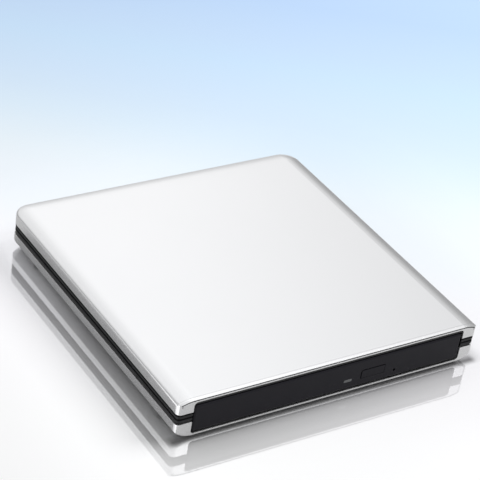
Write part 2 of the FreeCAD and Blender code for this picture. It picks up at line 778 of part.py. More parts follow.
def bottom_cover():
    outer = lower_form(0, 0).cut(low_lip_cutters())
    shell = outer.cut(lower_form(SIDE_WALL, FLOOR_WALL))
    additions = [shell]
    for x, y in case_boss_places():
        additions.append(post(x, y, 0, BAND_LOW, BOSS_RADIUS).common(outer))
    for side, y in bracket_places():
        middle = y + BRACKET_LENGTH / 2
        additions.append(post(side * BOSS_X, middle, 0, BRACKET_FOOT, BOSS_RADIUS).common(outer))
    for x, y in pad_places():
        half = PAD_SIZE / 2
        additions.append(block(x - half, x + half, y - half, y + half, CASE_BOTTOM, DRIVE_BOTTOM))
    for x, y in bridge_post_places():
        additions.append(post(x, y, 0, BRIDGE_BOTTOM, BRIDGE_POST_RADIUS).common(outer))
    shell = joined(additions)
    cutters = [front_opening(SIDE_WALL + 1)]
    for x, y in case_boss_places():
        cutters.append(post(x, y, 0, BAND_LOW + 1, CASE_SCREW_RADIUS + 2 * SCREW_GAP))
        cutters.append(post(x, y, 0, SCREW_SEAT, CASE_SCREW_HEAD_RADIUS + 2 * SCREW_GAP))
    for x, y in foot_places():
        cutters.append(post(x, y, 0, CASE_BOTTOM + FOOT_RECESS, FOOT_RADIUS + SCREW_GAP))
    hole = SMALL_SCREW_RADIUS + SCREW_GAP
    for side, y in bracket_places():
        middle = y + BRACKET_LENGTH / 2
        cutters.append(post(side * BOSS_X, middle, FLOOR_TOP + SHEET, BRACKET_FOOT + 1, hole))
    for x, y in bridge_post_places():
        cutters.append(post(x, y, FLOOR_TOP + SHEET, BRIDGE_BOTTOM + 1, hole))
    return shell.cut(cutters)


def opening_liner():
    """Strip that lines the top of the front opening, and the arch behind the wall that carries it."""
    back = CASE_FRONT + SIDE_WALL + FIT_GAP
    low = OPENING_TOP - LINER_DROP
    radius = OPENING_CORNER_RADIUS - FIT_GAP
    fill = upright_prism(
        -OPENING_HALF + FIT_GAP,
        OPENING_HALF - FIT_GAP,
        OPENING_LOW,
        OPENING_TOP - FIT_GAP,
        CASE_FRONT + LINER_RECESS,
        back,
        radius,
        radius,
    )
    strip = fill.common(block(-CASE_HALF, CASE_HALF, CASE_FRONT, back, low, CASE_TOP))
    reach = OPENING_HALF + LINER_LEG
    arch = block(-reach, reach, back, CASE_FRONT + TONGUE_INNER, BAND_TOP, OPENING_TOP)
    doorway = block(-OPENING_HALF, OPENING_HALF, CASE_FRONT, TRAY_FRONT, 0, low)
    return [strip, arch.cut(doorway)]


def side_band():
    """Ribbed ring between the covers, open at the front below the liner."""
    inner = BAND_RECESS + BAND_THICKNESS
    parts = [case_ring(BAND_RECESS + RIB_HEIGHT, inner, BAND_LOW, BAND_TOP)]
    spacing = (BAND_HEIGHT - 2 * RIB_WIDTH) / 3
    for index in (1, 2):
        low = BAND_LOW + index * spacing + (index - 1) * RIB_WIDTH
        rib = case_prism(BAND_RECESS, low, low + RIB_WIDTH)
        rib = rib.makeFillet(RIB_ROUNDING, edges_at(rib, low) + edges_at(rib, low + RIB_WIDTH))
        parts.append(rib.cut(case_prism(inner, low, low + RIB_WIDTH)))
    tongue = (SIDE_WALL + FIT_GAP, TONGUE_INNER)
    parts.append(case_ring(*tongue, BAND_LOW - TONGUE_HEIGHT, BAND_TOP + TONGUE_HEIGHT))
    band = joined(parts)
    inlet = block(
        INLET_X - INLET_WIDTH / 2 - INLET_CUT_GAP,
        INLET_X + INLET_WIDTH / 2 + INLET_CUT_GAP,
        CASE_REAR - 2 * inner,
        CASE_REAR + 1,
        BRIDGE_TOP - INLET_CUT_GAP,
        BRIDGE_TOP + INLET_HEIGHT + INLET_CUT_GAP,
    )
    front = block(
        -OPENING_HALF, OPENING_HALF, CASE_FRONT - 1, CASE_FRONT + 2 * inner, 0, CASE_TOP
    )
    return joined([band.cut([inlet, front])] + opening_liner())


def rubber_feet():
    feet = []
    for x, y in foot_places():
        foot = post(x, y, 0, CASE_BOTTOM + FOOT_RECESS, FOOT_RADIUS)
        feet.append(foot.makeFillet(FOOT_ROUNDING, edges_at(foot, 0)))
    return group(feet)


def upright_screw(x, y, seat, length, radius, head_radius, head_height, up):
    """Cross-head screw, its head's bearing face at seat; up tells which way its tip points."""
    if up:
        shaft = post(x, y, seat, seat + length, radius)
        head = post(x, y, seat - head_height, seat, head_radius)
        recess = (seat - head_height, seat - head_height + CROSS_DEPTH)
    else:
        shaft = post(x, y, seat - length, seat, radius)
        head = post(x, y, seat, seat + head_height, head_radius)
        recess = (seat + head_height - CROSS_DEPTH, seat + head_height)
    long = head_radius - CROSS_MARGIN
    short = CROSS_WIDTH / 2
    cross = [
        block(x - long, x + long, y - short, y + short, *recess),
        block(x - short, x + short, y - long, y + long, *recess),
    ]
    return shaft.fuse(head).cut(cross)


def case_screws():
    return group(
        [
            upright_screw(
                x,
                y,
                SCREW_SEAT,
                CASE_SCREW_LENGTH,
                CASE_SCREW_RADIUS,
                CASE_SCREW_HEAD_RADIUS,
                CASE_SCREW_HEAD,
                True,
            )
            for x, y in case_boss_places()
        ]
    )


def small_screw(x, y, seat, length, up):
    return upright_screw(
        x, y, seat, length, SMALL_SCREW_RADIUS, SMALL_SCREW_HEAD_RADIUS, SMALL_SCREW_HEAD, up
    )


def side_screw(side, y, seat):
    """Screw along X through the drive's side, with its head outside at seat."""
    z = DRIVE_BOTTOM + SIDE_SCREW_RISE
    screw = small_screw(0, 0, 0, seat - PAN_INNER + FIT_GAP / 2, False)
    screw.rotate(Vector(), Vector(0, 1, 0), side * 90)
    screw.translate(Vector(side * seat, y, z))
    return screw


def lid_screw_places():
    return [PAN_FRONT + LID_SCREW_FRONT_INSET, PAN_REAR - LID_SCREW_REAR_INSET]


def side_screw_holes(clearance):
    """Holes in the drive's side walls for the lid screws and the bracket screws."""
    z = DRIVE_BOTTOM + SIDE_SCREW_RISE
    places = lid_screw_places() + [PAN_REAR - BRACKET_REAR_INSET - BRACKET_LENGTH / 2]
    return [
        bar(Vector(-CASE_HALF, y, z), Vector(1, 0, 0), 2 * CASE_HALF, SMALL_SCREW_RADIUS + clearance)
        for y in places
    ]


def drive_brackets():
    brackets = []
    for side, y in bracket_places():
        outer = DRIVE_HALF + BRACKET_SHEET
        upright = block(
            side * DRIVE_HALF,
            side * outer,
            y,
            y + BRACKET_LENGTH,
            BRACKET_FOOT,
            BRACKET_FOOT + BRACKET_HEIGHT,
        )
        foot = block(
            side * DRIVE_HALF,
            side * (BOSS_X + BOSS_RADIUS),
            y,
            y + BRACKET_LENGTH,
            BRACKET_FOOT,
            BRACKET_FOOT + BRACKET_SHEET,
        )
        hole = post(
            side * BOSS_X,
            y + BRACKET_LENGTH / 2,
            0,
            CASE_TOP,
            SMALL_SCREW_RADIUS + SCREW_GAP,
        )
        brackets.append(joined([upright, foot]).cut([hole] + side_screw_holes(SCREW_GAP)))
    return group(brackets)


def bracket_screws():
    screws = []
    for side, y in bracket_places():
        middle = y + BRACKET_LENGTH / 2
        seat = BRACKET_FOOT + BRACKET_SHEET
        length = seat - FLOOR_TOP - SHEET - FIT_GAP
        screws.append(small_screw(side * BOSS_X, middle, seat, length, False))
        screws.append(side_screw(side, middle, DRIVE_HALF + BRACKET_SHEET))
    return group(screws)


def lid_screws():
    return group(
        [
            side_screw(side, y, DRIVE_HALF)
            for side in (-1, 1)
            for y in lid_screw_places()
        ]
    )


CONNECTOR_BOARD_TOP = PAN_TOP + CONNECTOR_BOARD_SHEET
CONNECTOR_TOP = CONNECTOR_BOARD_TOP + CONNECTOR_HEIGHT
CONNECTOR_REAR = PAN_REAR + CONNECTOR_PROUD
CONNECTOR_FRONT = CONNECTOR_REAR - CONNECTOR_DEPTH
CONNECTOR_RIGHT = CONNECTOR_LEFT + CONNECTOR_WIDTH


def drive_chassis():
    floor = block(-PAN_OUTER, PAN_OUTER, PAN_FRONT, PAN_REAR, DRIVE_BOTTOM, PAN_TOP)
    parts = [floor]
    for side in (-1, 1):
        parts.append(
            block(side * PAN_INNER, side * PAN_OUTER, PAN_FRONT, PAN_REAR, DRIVE_BOTTOM, GUIDE_TOP)
        )
    parts.append(block(-PAN_OUTER, PAN_OUTER, PAN_REAR - SHEET, PAN_REAR, DRIVE_BOTTOM, GUIDE_TOP))
    pan = joined(parts)
    window = block(
        CONNECTOR_LEFT - CONNECTOR_CLEARANCE,
        CONNECTOR_RIGHT + CONNECTOR_CLEARANCE,
        PAN_REAR - 2 * SHEET,
        PAN_REAR + 1,
        PAN_TOP,
        CONNECTOR_TOP + CONNECTOR_CLEARANCE,
    )
    return pan.cut([window] + side_screw_holes(SCREW_GAP))


def drive_lid():
    wall_low = PAN_TOP + LID_WALL_DROP
    roof = block(-DRIVE_HALF, DRIVE_HALF, PAN_FRONT, PAN_REAR, LID_UNDERSIDE, DRIVE_TOP)
    dish = post(0, HUB_Y, LID_UNDERSIDE, DRIVE_TOP + DISH_RISE, DISH_RADIUS)
    parts = [roof, dish]
    for side in (-1, 1):
        parts.append(
            block(side * LID_INNER, side * DRIVE_HALF, PAN_FRONT, PAN_REAR, wall_low, DRIVE_TOP)
        )
    rear_low = GUIDE_TOP + FIT_GAP
    parts.append(block(-DRIVE_HALF, DRIVE_HALF, PAN_REAR - SHEET, PAN_REAR, rear_low, DRIVE_TOP))
    lid = joined(parts)
    hollow = post(0, HUB_Y, 0, LID_UNDERSIDE + DISH_RISE, DISH_RADIUS - SHEET)
    return lid.cut([hollow] + side_screw_holes(SCREW_GAP))


def rail_guide(side):
    web = GUIDE_OUTER - GUIDE_WALL
    parts = [
        block(side * web, side * GUIDE_OUTER, GUIDE_FRONT, GUIDE_REAR, GUIDE_BOTTOM, GUIDE_TOP)
    ]
    lips = (
        (GUIDE_BOTTOM, RAIL_LOW - SLIDE_GAP),
        (RAIL_TOP + SLIDE_GAP, GUIDE_TOP),
    )
    for low, high in lips:
        parts.append(block(side * GUIDE_INNER, side * web, GUIDE_FRONT, GUIDE_REAR, low, high))
    stop = block(
        side * GUIDE_INNER,
        side * web,
        GUIDE_REAR - GUIDE_WALL,
        GUIDE_REAR,
        GUIDE_BOTTOM,
        GUIDE_TOP,
    )
    return joined(parts + [stop])


RAIL_FRONT = GUIDE_FRONT + RAIL_FRONT_GAP
RAIL_REAR = GUIDE_REAR - GUIDE_WALL - RAIL_REAR_GAP


def rail(side):
    flange = (RAIL_WIDTH - RAIL_NECK) / 2
    outer = block(
        side * (RAIL_OUTER - flange), side * RAIL_OUTER, RAIL_FRONT, RAIL_REAR, RAIL_LOW, RAIL_TOP
    )
    inner = block(
        side * RAIL_INNER, side * (RAIL_INNER + flange), RAIL_FRONT, RAIL_REAR, RAIL_LOW, RAIL_TOP
    )
    neck = block(
        side * RAIL_INNER,
        side * RAIL_OUTER,
        RAIL_FRONT,
        RAIL_REAR,
        RAIL_LOW + RAIL_NECK_STEP,
        RAIL_TOP - RAIL_NECK_STEP,
    )
    return joined([outer, inner, neck])


def plate_screw_places():
    x = CHANNEL_INNER - PLATE_SCREW_INSET
    return [
        (side * x, y)
        for side in (-1, 1)
        for y in (TRAY_FRONT + PLATE_SCREW_END, 0, TRAY_REAR - PLATE_SCREW_REAR)
    ]


# Rubber dampers that carry the traverse, in its own u, v axes
DAMPER_PLACES = ((-20.5, 0.0), (45.0, -20.5), (20.0, 25.0))


def cover_outline(grow, z0, z1):
    """Plan form of the traverse cover, or of the pocket that takes it."""
    round_part = post(0, 0, z0, z1, HUB_OPENING + COVER_LIP + grow)
    half = COVER_HALF + COVER_LIP + grow
    arm = block(0, LENS_OUTER + LENS_HOLDER_HALF, -half, half, z0, z1)
    outline = joined([round_part, arm])
    return outline.common(post(0, 0, z0, z1, WELL_RADIUS - FIT_GAP + grow))


def damper_post(place):
    u, v = place
    upper = FRAME_TOP + DAMPER_UPPER
    thick = post(u, v, upper, WELL_FLOOR - SMALL_WELL_STEP, DAMPER_RADIUS)
    pin = post(u, v, PLATE_BOTTOM + FIT_GAP + PLATE_SHEET, upper, DAMPER_PIN_RADIUS)
    return joined([thick, pin])


LEVER_Y = TRAY_FRONT + LEVER_Y_GAP
LEVER_BOTTOM = PAN_TOP + LEVER_LIFT
LEVER_TOP = LEVER_BOTTOM + LEVER_SHEET


def disc_tray():
    deck = block(-TRAY_HALF, TRAY_HALF, TRAY_FRONT, TRAY_REAR, DECK_BOTTOM, RIM_TOP)
    deck = deck.cut(
        [
            post(0, HUB_Y, WELL_FLOOR, CASE_TOP, WELL_RADIUS),
            post(0, HUB_Y, SMALL_WELL_FLOOR, CASE_TOP, SMALL_WELL_RADIUS),
            at_hub(cover_outline(FIT_GAP, SMALL_WELL_FLOOR, CASE_TOP)),
        ]
        + [
            post(
                side * WELL_RADIUS * math.sqrt(0.5),
                HUB_Y - WELL_RADIUS * math.sqrt(0.5),
                WELL_FLOOR,
                CASE_TOP,
                FINGER_RADIUS,
            )
            for side in (-1, 1)
        ]
    )
    parts = [deck]
    for side in (-1, 1):
        web = block(
            side * CHANNEL_INNER,
            side * CHANNEL_FACE,
            TRAY_FRONT,
            GUIDE_REAR,
            RAIL_LOW - SLIDE_GAP - CHANNEL_LIP_THICKNESS,
            DECK_BOTTOM,
        )
        low_lip = block(
            side * CHANNEL_INNER,
            side * (CHANNEL_FACE + CHANNEL_LIP),
            TRAY_FRONT,
            GUIDE_REAR,
            RAIL_LOW - SLIDE_GAP - CHANNEL_LIP_THICKNESS,
            RAIL_LOW - SLIDE_GAP,
        )
        top_lip = block(
            side * CHANNEL_INNER,
            side * (CHANNEL_FACE + CHANNEL_LIP),
            TRAY_FRONT,
            GUIDE_REAR,
            RAIL_TOP + SLIDE_GAP,
            DECK_BOTTOM,
        )
        parts += [web, low_lip, top_lip]
    for x, y in plate_screw_places():
        parts.append(post(x, y, PLATE_TOP, DECK_BOTTOM + TRAY_FLOOR / 2, POST_RADIUS))
    for x, y in board_post_places():
        parts.append(post(x, y, BOARD_TOP, DECK_BOTTOM + TRAY_FLOOR / 2, POST_RADIUS))
    parts += [at_hub(damper_post(place)) for place in DAMPER_PLACES]
    parts.append(post(LEVER_X, LEVER_Y, LEVER_BOTTOM, DECK_BOTTOM + TRAY_FLOOR / 2, LEVER_PIN_RADIUS))
    tray = joined(parts)
    hole = SMALL_SCREW_RADIUS + SCREW_GAP
    cutters = [
        at_hub(post(0, 0, 0, CASE_TOP, HUB_OPENING)),
        at_hub(
            block(
                0,
                LENS_OUTER + LENS_HOLDER_HALF + 4 * SLIDE_GAP,
                -COVER_WINDOW_HALF,
                COVER_WINDOW_HALF,
                0,
                CASE_TOP,
            )
        ),
        at_hub(block(0, LENS_OUTER, -COVER_HALF, COVER_HALF, 0, SMALL_WELL_FLOOR)),
    ]
    for x, y in plate_screw_places():
        cutters.append(post(x, y, 0, DECK_BOTTOM, hole))
    for u, v in DAMPER_PLACES:
        cutters.append(at_hub(post(u, v, 0, DECK_BOTTOM - FIT_GAP, hole)))
    return tray.cut(cutters)


BOARD_BOTTOM = PLATE_TOP + BOARD_LIFT
BOARD_TOP = BOARD_BOTTOM + BOARD_THICKNESS
BOARD_LEFT = BOARD_SIDE_INSET - CHANNEL_INNER
BOARD_FRONT = HUB_Y + BOARD_BEHIND_HUB
BOARD_REAR = TRAY_REAR - BOARD_REAR_INSET


def board_post_places():
    inset = 2 * POST_RADIUS
    return [
        (x, y)
        for x in (BOARD_LEFT + inset, BOARD_RIGHT - inset)
        for y in (BOARD_FRONT + inset, BOARD_REAR - inset)
    ]


def bezel_hollow():
    """Space behind the bezel's plate, inside its rim."""
    return upright_prism(
        -DRIVE_HALF + BEZEL_RIM,
        DRIVE_HALF - BEZEL_RIM,
        DRIVE_BOTTOM + BEZEL_RIM,
        DRIVE_TOP - BEZEL_RIM,
        BEZEL_FACE + BEZEL_PLATE,
        TRAY_FRONT + 1,
        BEZEL_CORNER_RADIUS / 2,
        BEZEL_CORNER_RADIUS / 2,
    )


BUTTON_LOW = DRIVE_BOTTOM + BUTTON_BASE
BUTTON_TOP = BUTTON_LOW + BUTTON_HEIGHT
BUTTON_RIGHT = BUTTON_LEFT + BUTTON_WIDTH
LIGHT_Z = DRIVE_BOTTOM + LIGHT_RISE
RELEASE_HOLE_Z = DRIVE_BOTTOM + RELEASE_HOLE_RISE


def button_window():
    """Hole for the eject button, with the rounded corner at its top left."""
    window = block(BUTTON_LEFT, BUTTON_RIGHT, BEZEL_FACE - 1, TRAY_FRONT, BUTTON_LOW, BUTTON_TOP)
    corner = [
        edge
        for edge in window.Edges
        if all(abs(p.X - BUTTON_LEFT) < 1e-6 and abs(p.Z - BUTTON_TOP) < 1e-6 for p in edge.Vertexes)
    ]
    return window.makeFillet(BUTTON_CORNER_RADIUS, corner)


def light_window(gap):
    half = LIGHT_WIDTH / 2 + gap
    rise = LIGHT_HEIGHT / 2 + gap
    return upright_prism(
        LIGHT_X - half,
        LIGHT_X + half,
        LIGHT_Z - rise,
        LIGHT_Z + rise,
        BEZEL_FACE,
        BEZEL_FACE + LIGHT_PIPE,
        rise / 2,
        rise / 2,
    )


def bezel():
    body = upright_prism(
        -DRIVE_HALF,
        DRIVE_HALF,
        DRIVE_BOTTOM,
        DRIVE_TOP,
        BEZEL_FACE,
        TRAY_FRONT,
        BEZEL_CORNER_RADIUS,
        BEZEL_CORNER_RADIUS,
    )
    face_edges = [
        edge
        for edge in body.Edges
        if all(abs(vertex.Y - BEZEL_FACE) < 1e-6 for vertex in edge.Vertexes)
    ]
    body = body.makeFillet(BEZEL_ROUNDING, face_edges)
    hole = bar(
        Vector(RELEASE_HOLE_X, BEZEL_FACE - 1, RELEASE_HOLE_Z),
        Vector(0, 1, 0),
        BEZEL_DEPTH + 2,
        RELEASE_HOLE_RADIUS,
    )
    return body.cut([bezel_hollow(), button_window(), light_window(SCREW_GAP), hole])


def eject_button():
    """Button with a flange behind the bezel's plate and a stem towards the switch."""
    left = BUTTON_LEFT + BUTTON_WIDE_GAP
    right = BUTTON_RIGHT - BUTTON_NARROW_GAP
    low = BUTTON_LOW + BUTTON_NARROW_GAP
    top = BUTTON_TOP - BUTTON_WIDE_GAP
    flange_front = BEZEL_FACE + BEZEL_PLATE + FIT_GAP
    flange_rear = flange_front + BUTTON_FLANGE_THICKNESS
    cap = block(left, right, BEZEL_FACE, flange_rear, low, top)
    corner = [
        edge
        for edge in cap.Edges
        if all(abs(p.X - left) < 1e-6 and abs(p.Z - top) < 1e-6 for p in edge.Vertexes)
    ]
    cap = cap.makeFillet(BUTTON_CORNER_RADIUS - BUTTON_WIDE_GAP, corner)
    flange = block(
        BUTTON_LEFT - BUTTON_FLANGE,
        BUTTON_RIGHT + BUTTON_FLANGE,
        flange_front,
        flange_rear,
        BUTTON_LOW - BUTTON_FLANGE,
        BUTTON_TOP + BUTTON_FLANGE,
    )
    middle = (BUTTON_LEFT + BUTTON_RIGHT) / 2
    stem_half = BUTTON_STEM_WIDTH / 2
    height = (BUTTON_LOW + BUTTON_TOP) / 2
    stem = block(
        middle - stem_half,
        middle + stem_half,
        flange_rear - FIT_GAP,
        SWITCH_FRONT - BUTTON_TRAVEL - FIT_GAP,
        height - stem_half / 2,
        height + stem_half / 2,
    )
    return joined([cap, flange, stem])


FRONT_BOARD_BOTTOM = PLATE_TOP + FRONT_BOARD_LIFT
FRONT_BOARD_TOP = FRONT_BOARD_BOTTOM + FRONT_BOARD_SHEET
FRONT_BOARD_FRONT = TRAY_FRONT + FRONT_BOARD_GAP
SWITCH_FRONT = FRONT_BOARD_FRONT + FRONT_BOARD_DEPTH - SWITCH_DEPTH - SLIDE_GAP


def front_board():
    rear = FRONT_BOARD_FRONT + FRONT_BOARD_DEPTH
    board = block(
        FRONT_BOARD_LEFT,
        FRONT_BOARD_RIGHT,
        FRONT_BOARD_FRONT,
        rear,
        FRONT_BOARD_BOTTOM,
        FRONT_BOARD_TOP,
    )
    lamp = block(
        LIGHT_X - LIGHT_HEIGHT,
        LIGHT_X + LIGHT_HEIGHT,
        FRONT_BOARD_FRONT,
        FRONT_BOARD_FRONT + LIGHT_HEIGHT,
        FRONT_BOARD_TOP,
        LIGHT_Z + LIGHT_HEIGHT / 2,
    )
    notches = [
        at_hub(post(u, v, 0, CASE_TOP, DAMPER_RADIUS + SLIDE_GAP)) for u, v in DAMPER_PLACES
    ]
    return joined([board, lamp]).cut(notches)


def eject_switch():
    middle = (BUTTON_LEFT + BUTTON_RIGHT) / 2
    half = SWITCH_WIDTH / 2
    rear = SWITCH_FRONT + SWITCH_DEPTH
    body = block(
        middle - half,
        middle + half,
        SWITCH_FRONT + SLIDE_GAP,
        rear,
        FRONT_BOARD_TOP,
        FRONT_BOARD_TOP + SWITCH_HEIGHT,
    )
    height = (BUTTON_LOW + BUTTON_TOP) / 2
    nose = bar(Vector(middle, SWITCH_FRONT, height), Vector(0, 1, 0), SWITCH_DEPTH / 2, SHAFT_RADIUS / 2)
    return joined([body, nose])


def traverse_cover():
    plate = cover_outline(0, SMALL_WELL_FLOOR, SMALL_WELL_FLOOR + COVER_SHEET)
    hub_hole = post(0, 0, 0, CASE_TOP, PLATTER_RADIUS + COVER_HUB_GAP)
    window = block(
        0, WELL_RADIUS + 1, -COVER_WINDOW_HALF, COVER_WINDOW_HALF, 0, CASE_TOP
    )
    return at_hub(plate.cut([hub_hole, window]))


def frame_ears():
    ears = []
    for u, v in DAMPER_PLACES:
        reach = DAMPER_RADIUS + EAR_EDGE
        ears.append(post(u, v, FRAME_BOTTOM, FRAME_TOP, reach))
        if v == 0:
            ears.append(block(u, -FRAME_REAR + EAR_EDGE, -reach, reach, FRAME_BOTTOM, FRAME_TOP))
        else:
            inner = v - math.copysign(2 * reach, v)
            low, high = sorted((v, inner))
            ears.append(block(u - reach, u + reach, low, high, FRAME_BOTTOM, FRAME_TOP))
    return ears


def frame_brackets():
    """Upright ears on the traverse frame that hold the rods and the lead screw."""
    brackets = []
    for v in (-ROD_SPREAD, ROD_SPREAD):
        for start in (ROD_START, ROD_END - BRACKET_THICKNESS):
            brackets.append(
                block(
                    start,
                    start + BRACKET_THICKNESS,
                    v - BRACKET_HALF,
                    v + BRACKET_HALF,
                    FRAME_BOTTOM,
                    CARRIAGE_TOP,
                )
            )
    brackets.append(
        block(
            ROD_END - BRACKET_THICKNESS,
            ROD_END,
            SCREW_V - BRACKET_HALF,
            SCREW_V + BRACKET_HALF,
            FRAME_BOTTOM,
            CARRIAGE_TOP,
        )
    )
    return brackets


def traverse_frame():
    far = WINDOW_END + FRAME_END_EDGE
    side_low = -ROD_SPREAD - FRAME_EDGE
    side_high = SCREW_V + FRAME_EDGE
    points = (
        (-FRAME_REAR, -FRAME_END_HALF),
        (FRAME_CORNER - FRAME_REAR, side_low),
        (ROD_END + EAR_EDGE, side_low),
        (far, -FRAME_END_HALF),
        (far, FRAME_END_HALF),
        (ROD_END + EAR_EDGE, side_high),
        (FRAME_CORNER - FRAME_REAR, side_high),
        (-FRAME_REAR, FRAME_END_HALF),
    )
    plate = prism(points, FRAME_BOTTOM, FRAME_TOP)
    frame = joined([plate] + frame_ears() + frame_brackets())
    cutters = [
        block(WINDOW_START, WINDOW_END, -WINDOW_HALF, WINDOW_HALF, 0, CASE_TOP),
        bar(
            Vector(ROD_START - 1, SCREW_V, ROD_Z),
            Vector(1, 0, 0),
            ROD_END - ROD_START + 2,
            LEAD_ROOT_RADIUS + SCREW_GAP,
        ),
    ]
    for v in (-ROD_SPREAD, ROD_SPREAD):
        cutters.append(
            bar(
                Vector(ROD_START - 1, v, ROD_Z),
                Vector(1, 0, 0),
                ROD_END - ROD_START + 2,
                ROD_RADIUS + SCREW_GAP / 2,
            )
        )
    for u, v in DAMPER_PLACES:
        cutters.append(post(u, v, 0, FRAME_TOP, DAMPER_WAIST))
    return at_hub(frame.cut(cutters))


def guide_rod(v):
    return at_hub(bar(Vector(ROD_START, v, ROD_Z), Vector(1, 0, 0), ROD_END - ROD_START, ROD_RADIUS))


def damper_grommets():
    grommets = []
    for u, v in DAMPER_PLACES:
        low = FRAME_BOTTOM - DAMPER_FLANGE
        spool = joined(
            [
                post(u, v, low, FRAME_BOTTOM, DAMPER_RADIUS),
                post(u, v, low, FRAME_TOP + DAMPER_UPPER, DAMPER_WAIST),
                post(u, v, FRAME_TOP, FRAME_TOP + DAMPER_UPPER, DAMPER_RADIUS),
            ]
        )
        hole = post(u, v, 0, CASE_TOP, DAMPER_PIN_RADIUS + SCREW_GAP)
        grommets.append(at_hub(spool.cut(hole)))
    return group(grommets)


def traverse_screws():
    seat = FRAME_BOTTOM - DAMPER_FLANGE
    length = DECK_BOTTOM - seat - 1
    screws = []
    for u, v in DAMPER_PLACES:
        shaft = post(u, v, seat, seat + length, SMALL_SCREW_RADIUS)
        head = post(u, v, PLATE_BOTTOM, seat, DAMPER_WAIST)
        screws.append(at_hub(shaft.fuse(head)))
    return group(screws)


def tray_bottom_plate():
    half = CHANNEL_INNER - SLIDE_GAP
    rear = TRAY_REAR - SLIDE_GAP
    plate = block(-half, half, TRAY_FRONT + PLATE_INSET, rear, PLATE_BOTTOM, PLATE_TOP)
    cutters = [
        block(
            LATCH_OPENING_LEFT,
            LATCH_OPENING_RIGHT,
            TRAY_FRONT,
            TRAY_FRONT + LATCH_OPENING_DEPTH,
            0,
            CASE_TOP,
        ),
        block(
            RIBBON_LEFT - 1,
            RIBBON_LEFT + RIBBON_WIDTH + 1,
            RIBBON_END_Y - TRAY_SOCKET_DEPTH / 2,
            RIBBON_END_Y + TRAY_SOCKET_DEPTH / 2,
            0,
            CASE_TOP,
        ),
        block(
            CONNECTOR_LEFT - 2,
            CONNECTOR_RIGHT + 2,
            CONNECTOR_FRONT - 2,
            CASE_REAR,
            0,
            CASE_TOP,
        ),
    ]
    for x, y in plate_screw_places():
        cutters.append(post(x, y, 0, CASE_TOP, SMALL_SCREW_RADIUS + SCREW_GAP))
    for u, v in DAMPER_PLACES:
        cutters.append(at_hub(post(u, v, 0, CASE_TOP, DAMPER_RADIUS + SLIDE_GAP)))
    return plate.cut(cutters)


def plate_screws():
    length = DECK_BOTTOM - PLATE_BOTTOM - SLIDE_GAP
    return group([small_screw(x, y, PLATE_BOTTOM, length, True) for x, y in plate_screw_places()])


def spindle_stator():
    base = post(0, 0, FRAME_TOP, FRAME_TOP + STATOR_BASE, STATOR_RADIUS)
    pole_top = PLATTER_BOTTOM - ROTOR_TOP - SLIDE_GAP
    core = post(0, 0, FRAME_TOP, pole_top, SLEEVE_RADIUS + 1)
    parts = [base, core]
    for index in range(POLE_COUNT):
        arm = block(0, POLE_RADIUS, -POLE_WIDTH / 2, POLE_WIDTH / 2, FRAME_TOP + STATOR_BASE, pole_top)
        tip = block(
            POLE_RADIUS - 1,
            POLE_RADIUS,
            -POLE_WIDTH,
            POLE_WIDTH,
            FRAME_TOP + STATOR_BASE,
            pole_top,
        )
        for piece in (arm, tip):
            piece.rotate(Vector(), Vector(0, 0, 1), index * 360 / POLE_COUNT)
            parts.append(piece)
    stator = joined(parts)
    bore = post(0, 0, FRAME_TOP + SLIDE_GAP, CASE_TOP, SHAFT_RADIUS + SCREW_GAP)
    return at_hub(stator.cut(bore))


def disc_hub():
    """Rotor cup, turntable, centring boss and shaft, all one moving piece."""
    rotor_bottom = FRAME_TOP + 2 * STATOR_BASE
    cup = post(0, 0, rotor_bottom, PLATTER_BOTTOM, SKIRT_RADIUS)
    hollow = post(0, 0, 0, PLATTER_BOTTOM - ROTOR_TOP, SKIRT_RADIUS - SKIRT_WALL)
    cup = cup.cut(hollow)
    platter = post(0, 0, PLATTER_BOTTOM, PLATTER_TOP, PLATTER_RADIUS)
    boss = post(0, 0, PLATTER_TOP, HUB_TOP, HUB_RADIUS)
    rim = [
        edge
        for edge in boss.Edges
        if len(edge.Vertexes) == 1 and abs(edge.Vertexes[0].Z - HUB_TOP) < 1e-6
    ]
    boss = boss.makeChamfer(HUB_CHAMFER, rim)
    shaft = post(0, 0, FRAME_TOP + 2 * SLIDE_GAP, PLATTER_BOTTOM, SHAFT_RADIUS)
    hub = joined([cup, platter, boss, shaft])
    slots = []
    for index in range(CLAW_COUNT):
        slot = block(
            CLAW_INNER - CLAW_TRAVEL - SLIDE_GAP,
            HUB_RADIUS + 1,
            -CLAW_WIDTH / 2 - SLIDE_GAP,
            CLAW_WIDTH / 2 + SLIDE_GAP,
            HUB_TOP - CLAW_HEIGHT - CLAW_GAP,
            CASE_TOP,
        )
        slot.rotate(Vector(), Vector(0, 0, 1), index * 360 / CLAW_COUNT)
        slots.append(slot)
    return at_hub(hub.cut(slots))


def turntable_pad():
    outer = PLATTER_RADIUS - PAD_RING_INSET
    ring = post(0, 0, PLATTER_TOP, DISC_SEAT, outer)
    return at_hub(ring.cut(post(0, 0, 0, CASE_TOP, outer - PAD_RING_WIDTH)))


def hub_claw(index):
    """Sprung claw whose nose holds the disc down past the edge of its hole."""
    shank = block(
        CLAW_INNER,
        HUB_RADIUS - CLAW_GAP,
        -CLAW_WIDTH / 2,
        CLAW_WIDTH / 2,
        HUB_TOP - CLAW_HEIGHT,
        HUB_TOP,
    )
    nose = block(
        CLAW_INNER,
        HUB_RADIUS + CLAW_NOSE,
        -CLAW_WIDTH / 2,
        CLAW_WIDTH / 2,
        HUB_TOP - CLAW_NOSE_HEIGHT,
        HUB_TOP,
    )
    claw = joined([shank, nose])
    claw.rotate(Vector(), Vector(0, 0, 1), index * 360 / CLAW_COUNT)
    return at_hub(claw)


SLEEVE_LOW = ROD_Z - SLEEVE_HEIGHT / 2
SLEEVE_TOP = ROD_Z + SLEEVE_HEIGHT / 2


